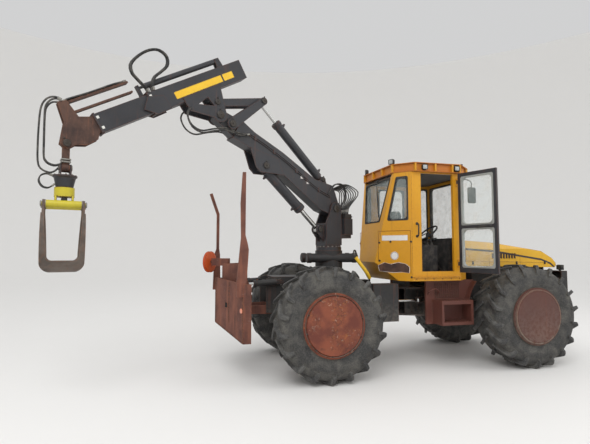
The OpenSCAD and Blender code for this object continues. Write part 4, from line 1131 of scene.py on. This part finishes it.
gland("lift_gland", "lift_barrel", LIFT_HIGH, LIFT_LOW, 0.96, 0.08)
gland("jib_gland", "jib_barrel", JIBCYL_LOW, APEX, 1.24, 0.07)

for name, body, count, radii, z, size in (("slew_ring_bolts", "slew_base", 20, (268, 250), 1500, 0.016),
                                          ("post_flange_bolts", "crane_post", 16, (190, 190), 1929, 0.012)):
    circle = Piece()
    for turn in turns(count):
        spot = at(POST_X + radii[0] * cos(turn), radii[1] * sin(turn), z)
        circle.bolt(spot, UP, size, size)
    circle.finish(name, body, STEEL, 0.001)
caps = Piece()
for hand in (-1, 1):
    for y in (-165, 165):
        end = at(POST_X + hand * 430, y, 1745)
        caps.turned(end, (hand, 0, 0), [(0.084, -0.06), (0.084, 0.0), (0.07, 0.012), (0.02, 0.014)], 32, True)
        for turn in turns(6):
            spot = Vector((hand * 0.008, 0.058 * cos(turn), 0.058 * sin(turn)))
            caps.bolt(end + spot, (hand, 0, 0), 0.007, 0.006)
caps.finish("slew_cylinder_caps", "slew_base", PAINT["chassis"], 0.001)

valve_block = Piece(on_crane)
for low in range(-150, 150, 44):
    valve_block.block((-392, low, 2420), (-250, low + 36, 2500))
    valve_block.turned(on_crane(-320, low + 18, 2500), UP, [(0.014, -0.002), (0.014, 0.03), (0.01, 0.034)], 12, True)
    valve_block.turned(on_crane(-392, low + 18, 2455), -CRANE_WAY, [(0.013, -0.002), (0.013, 0.028)], 6, True)
valve_block.finish("valve_block", "crane_post", IRON, 0.0015)

for k in range(9):
    swing = (k - 4) * 15
    out = 1 + 0.055 * k
    hose(f"post_hose_{k}", "crane_post", on_crane,
         [(-320, -130 + k * 33, 2534), (-330 - 26 * out, -130 + k * 33, 2640),
          (-430 * out, -150 + k * 22 + swing, 2790 + 12 * k), (-400 * out, -170 + k * 14, 2915 + 14 * k),
          (-280 * out, -175 + k * 10, 2950 + 12 * k), (-150, -150 - 3 * k, 2860 + 6 * k),
          (-90, -152, 2700 + 4 * k), (-60 + 6 * k, -152, 2560)], 0.020)
for k in range(4):
    hose(f"supply_hose_{k}", "crane_post", on_crane,
         [(-360 + 34 * k, -172, 2300), (-372 + 36 * k, -215, 2250), (-380 + 40 * k, -235, 2130),
          (-330 + 40 * k, -220, 2040), (-240 + 44 * k, -176, 2010), (-160 + 40 * k, -146, 2030)])
for k, side in enumerate((-150, -128, 128, 150)):
    hose(f"boom_hose_{k}", "crane_post", on_crane,
         [(-60, side, 2600 - 18 * k), (-190, side, 2660), (-270, side, 2800 + 16 * k),
          (-190, side * 1.02, 2960 + 12 * k), (-30, side * 1.02, 2990), (60, side * 0.86, 2880),
          (120, side * 0.86, 2810)], second_body="main_boom")
for k, (side, low) in enumerate(((120, 0), (142, 34), (-124, 0))):
    hose(f"knuckle_hose_{k}", "main_boom", on_crane,
         [(1640, side, 3600), (1800, side, 3600 - low), (2000, side, 3640 - low), (2200, side * 1.05, 3600 - low),
          (2390, side * 1.05, 3545 - low), (2530, side, 3600 - low), (2600, side, 3720 - low),
          (2590, side, 3800 - low * 0.5), (2552, copysign(121, side), 3848)], 0.024, 28, "jib")
TIP_LOOP = [(820, 629), (835, 700), (880, 830), (905, 930), (860, 1040), (700, 1110), (540, 1130), (410, 1090),
            (350, 985), (400, 880), (520, 830), (650, 790), (725, 710), (745, 629)]
JIB_TOP = 640
for k, (side, shift) in enumerate(((56, 0), (76, 14), (96, 5))):
    loop = [(a - shift, side, u - shift) if u > JIB_TOP else (a, side, u) for a, u in TIP_LOOP]
    hose(f"tip_loop_{k}", "jib", on_jib, loop, 0.024, 38)
for k, side in enumerate((-30, 0, 30)):
    rail = [(a, side, u) for a, u in ((1010, 860), (1200, 872), (1500, 868), (1760, 876), (1845, 866))]
    hose(f"rail_hose_{k}", "boom_head", on_jib, rail, 0.024, 20)

clamp = Piece(on_crane)
for z in (2905, 2935):
    clamp.block((HANG_R - 52, -66, z), (HANG_R + 52, 66, z + 18))
clamp.finish("hanger_hose_clamp", "hanger", STEEL, 0.002)
DROPS = (
    (66, 26, [(4140, 3640), (4190, 3652), (4245, 3630), (4288, 3575), (4305, 3500), (4306, 3330), (4304, 3150),
              (4300, 2975), (4285, 2920), (4245, 2880), (4190, 2865), (4150, 2873), (4113, 2890)]),
    (-66, -26, [(4140, 3640), (4190, 3648), (4238, 3625), (4276, 3570), (4292, 3500), (4294, 3330), (4292, 3150),
                (4290, 2975), (4277, 2920), (4240, 2884), (4190, 2868), (4150, 2874), (4113, 2890)]),
    (72, 0, [(4140, 3650), (4200, 3670), (4268, 3652), (4322, 3590), (4350, 3490), (4360, 3300), (4362, 3080),
             (4355, 2890), (4321, 2809), (4240, 2775), (4190, 2788), (4155, 2820), (4122, 2862)]))
for k, (start_side, end_side, path) in enumerate(DROPS):
    step = (end_side - start_side) / (len(path) - 1)
    drop = [(r, start_side + step * i, z) for i, (r, z) in enumerate(path)]
    hose(f"grapple_hose_{k}", "boom_head", on_crane, drop, 0.022, 34, "hanger")
ROTATOR_LOOP = ((120, 24, 2742), (190, 34, 2762), (252, 42, 2734), (270, 44, 2672), (236, 40, 2610), (170, 34, 2596),
                (106, 26, 2646))
for k, hand in enumerate((-1, 1)):
    loop = [(HANG_R + r, hand * side, z) for r, side, z in ROTATOR_LOOP]
    hose(f"rotator_hose_{k}", "rotator", on_crane, loop, 0.015, 22)

rotor_bolts = Piece()
for turn in turns(10):
    spot = on_crane(HANG_R, 0, 2752) + Vector((cos(turn), sin(turn), 0)) * 0.118
    rotor_bolts.bolt(spot, UP, 0.011, 0.01)
for hand in (-1, 1):
    rotor_bolts.turned(on_crane(HANG_R + hand * 65, 0, 2848), CRANE_WAY * hand,
                       [(0.036, -0.004), (0.036, 0.008), (0.028, 0.012)], 24, True)
rotor_bolts.finish("rotator_bolts", "rotator", STEEL, 0.001)

GRIP_X = on_grapple(1, 0, 0) - on_grapple(0, 0, 0)
head_pins = Piece()
for y in (-110, 110):
    for hand in (-1, 1):
        head_pins.turned(on_grapple(hand * 235, y, 2400), GRIP_X * hand,
                         [(0.034, -0.006), (0.034, 0.006), (0.026, 0.01)], 24, True)
        head_pins.turned(on_grapple(hand * 190, y, 2400), GRIP_X * hand,
                         [(0.05, -0.004), (0.05, 0.003), (0.03, 0.003)], 24)
head_pins.finish("grapple_pins", "grapple_head", STEEL, 0.001)
grip_barrel = Piece().turned(on_grapple(0, -70, 2462), on_grapple(0, 1, 0) - on_grapple(0, 0, 0),
                             [(0.02, -0.002), (0.034, 0.0), (0.034, 0.14), (0.02, 0.142)], 24, True)
grip_barrel.finish("grapple_cylinder", "grapple_head", PAINT["black"], 0.001)

# Shield and its fittings

SHIELD_MID, SHIELD_SIDE, SHIELD_HALF = -1520, -1205, 850


def shield_wall(side):
    """The rear face: along is the distance from the middle, off stands out to the rear."""
    slope = (SHIELD_SIDE - SHIELD_MID) / SHIELD_HALF
    size = hypot(1, slope)

    def spot(along, z, off):
        return at(SHIELD_MID + slope * along - off / size, side * (along + off * slope / size), z)
    return spot


SOCKET = oblong(310, 1005, 384, 1079)
for hand, side in SIDES:
    wall = shield_wall(side)
    marks = Piece(wall)
    for low, high, radius, sides in (((6, 745, 2), (6, 1432, 2), 0.009, 8), ((10, 742, 2), (838, 548, 2), 0.008, 8),
                                     ((430, 780, 1), (430, 1385, 1), 0.006, 6),
                                     ((836, 560, 1), (836, 1385, 1), 0.006, 6)):
        marks.bar([low, high], radius, sides)
    marks.finish(f"shield_welds_{hand}", "shield", RUSTY_DARK)
    rim = Piece(wall).ring_plate(rounded(grown(SOCKET, 9), 8), rounded(SOCKET, 4), 3, -1)
    rim.finish(f"shield_socket_rim_{hand}", "shield", RUSTY)
    # The socket's opening is a near-black sheet on the face: painted shade of the hole behind the rim.
    Piece(wall).slab(rounded(SOCKET, 4), -1, 0.8).finish(f"shield_socket_{hand}", "shield", HOLE_SHADE)
    reflector = Piece().turned(wall(790, 1000, 0), wall(0, 0, 1) - wall(0, 0, 0),
                               [(0.036, -0.002), (0.036, 0.006), (0.03, 0.011), (0.006, 0.014)], 28, True)
    reflector.finish(f"reflector_{hand}", "shield", LENS_ORANGE)

PULLEY = at(-1595, 350, 1680)
PULLEY_TURN = radians(-37)
axle_way = Vector((cos(PULLEY_TURN), sin(PULLEY_TURN), 0))
across = Vector((-axle_way.y, axle_way.x, 0))
hub = Piece().turned(PULLEY, -axle_way, [(0.045, 0.028), (0.045, 0.044), (0.036, 0.05), (0.01, 0.052)], 28, True)
for turn in turns(5):
    spot = (across * cos(turn) + UP * sin(turn)) * 0.085
    hub.bolt(PULLEY - axle_way * 0.029 + spot, -axle_way, 0.011, 0.009)
hub.finish("pulley_hub", "pulley", RUSTY_DARK, 0.001)

# Chassis

shaft = Piece().bar([(240, 0, 960), (880, 0, 990)], 0.042, 20)
shaft.turned(at(240, 0, 960), (1, 0, 0), [(0.07, -0.05), (0.07, -0.02), (0.048, 0.0)], 24, True)
shaft.finish("rear_drive_shaft", "rear_frame", IRON, 0.001)
for name, body, places, y, heights in (
        ("front_rail_bolts", "front_frame", (2100, 2300, 2500, 2900, 3100, 3700, 3900, 4100, 4300), 380, (1030, 1210)),
        ("rear_rail_bolts", "rear_frame", (-520, -420, -320, 380, 500, 620, 740), 280, (1330, 1210))):
    rail_bolts = Piece()
    for side in (RIGHT, LEFT):
        for x in places:
            for z in heights:
                rail_bolts.bolt(at(x, side * y, z), (0, side, 0), 0.012, 0.01)
    rail_bolts.finish(name, body, STEEL, 0.001)
for hand, side in SIDES:
    hose(f"steering_hose_{hand}", "rear_frame", at,
         [(700, side * 282, 1150), (740, side * 330, 1200), (830, side * 372, 1215), (930, side * 392, 1180),
          (960, side * 396, 1120), (965, side * 396, 1090)], 0.018)
SLEEVED = [(790, -240, 1790), (730, -330, 1866), (660, -430, 1850), (664, -500, 1760), (722, -520, 1668),
           (790, -520, 1584), (860, -500, 1500), (920, -460, 1420), (940, -400, 1330), (915, -340, 1262),
           (846, -290, 1222)]
hose("sleeved_hose", "rear_frame", at, SLEEVED, 0.026, 30)
Piece().bar(SLEEVED[3:8], 0.03, 14, 20).finish("hose_sleeve", "rear_frame", PAINT["label_yellow"])
for n, side in enumerate((RIGHT, LEFT)):
    work_lamp(f"tail_lamp_{n}", "rear_frame", at(-790, side * 240, 1380), (-1, 0), 80, 60, LENS_ORANGE)

# Floor, backdrop and lamps

FLOOR_FLAT, FLOOR_RISE, FLOOR_DROP = 22, 24, 0.001
FLOOR_RING = [(0.4, 0), (8, 0), (FLOOR_FLAT, 0)]
FLOOR_RING += [(FLOOR_FLAT + FLOOR_RISE * sin(a), FLOOR_RISE - FLOOR_RISE * cos(a))
               for a in (k * pi / 28 for k in range(1, 15))]
FLOOR_TURNS = 96
places = [(radius * cos(a), radius * sin(a), high - FLOOR_DROP)
          for radius, high in FLOOR_RING for a in turns(FLOOR_TURNS)]
cells = [tuple(range(FLOOR_TURNS))]
for ring in range(len(FLOOR_RING) - 1):
    for k in range(FLOOR_TURNS):
        near, far = ring * FLOOR_TURNS, (ring + 1) * FLOOR_TURNS
        cells.append((near + k, far + k, far + (k + 1) % FLOOR_TURNS, near + (k + 1) % FLOOR_TURNS))
floor_mesh = bpy.data.meshes.new("floor")
floor_mesh.from_pydata(places, [], cells)
for cell in floor_mesh.polygons:
    cell.use_smooth = True
floor = placed("floor", floor_mesh)
pale = Finish("pale_floor")
pale.set(Base_Color=pale.mix(pale.noise(1.2, 4) * 0.15, srgb(232, 231, 229), srgb(222, 220, 216)), Roughness=0.9)
floor.data.materials.append(pale.material)

SKY_LIGHT, SKY_SEEN = 0.95, 0.67
world = bpy.data.worlds.new("studio")
bpy.context.scene.world = world
world.use_nodes = True
sky = world.node_tree.nodes["Background"]
rays = world.node_tree.nodes.new("ShaderNodeLightPath")
seen = world.node_tree.nodes.new("ShaderNodeMix")
seen.data_type = "FLOAT"
seen.inputs[2].default_value = SKY_LIGHT
seen.inputs[3].default_value = SKY_SEEN
world.node_tree.links.new(rays.outputs["Is Camera Ray"], seen.inputs[0])
world.node_tree.links.new(seen.outputs[0], sky.inputs["Strength"])
sky.inputs["Color"].default_value = (0.95, 0.953, 0.958, 1)


def lamp(name, place, power, size=7, target=(0, 0, 1.5)):
    data = bpy.data.lights.new(name, "AREA")
    data.size = size
    data.energy = power
    thing = placed(name, data)
    thing.location = place
    thing.rotation_euler = (Vector(target) - Vector(place)).to_track_quat("-Z", "Y").to_euler()


lamp("key_lamp", (-5, -9, 10), 620)
lamp("fill_lamp", (9, -5, 7), 240)
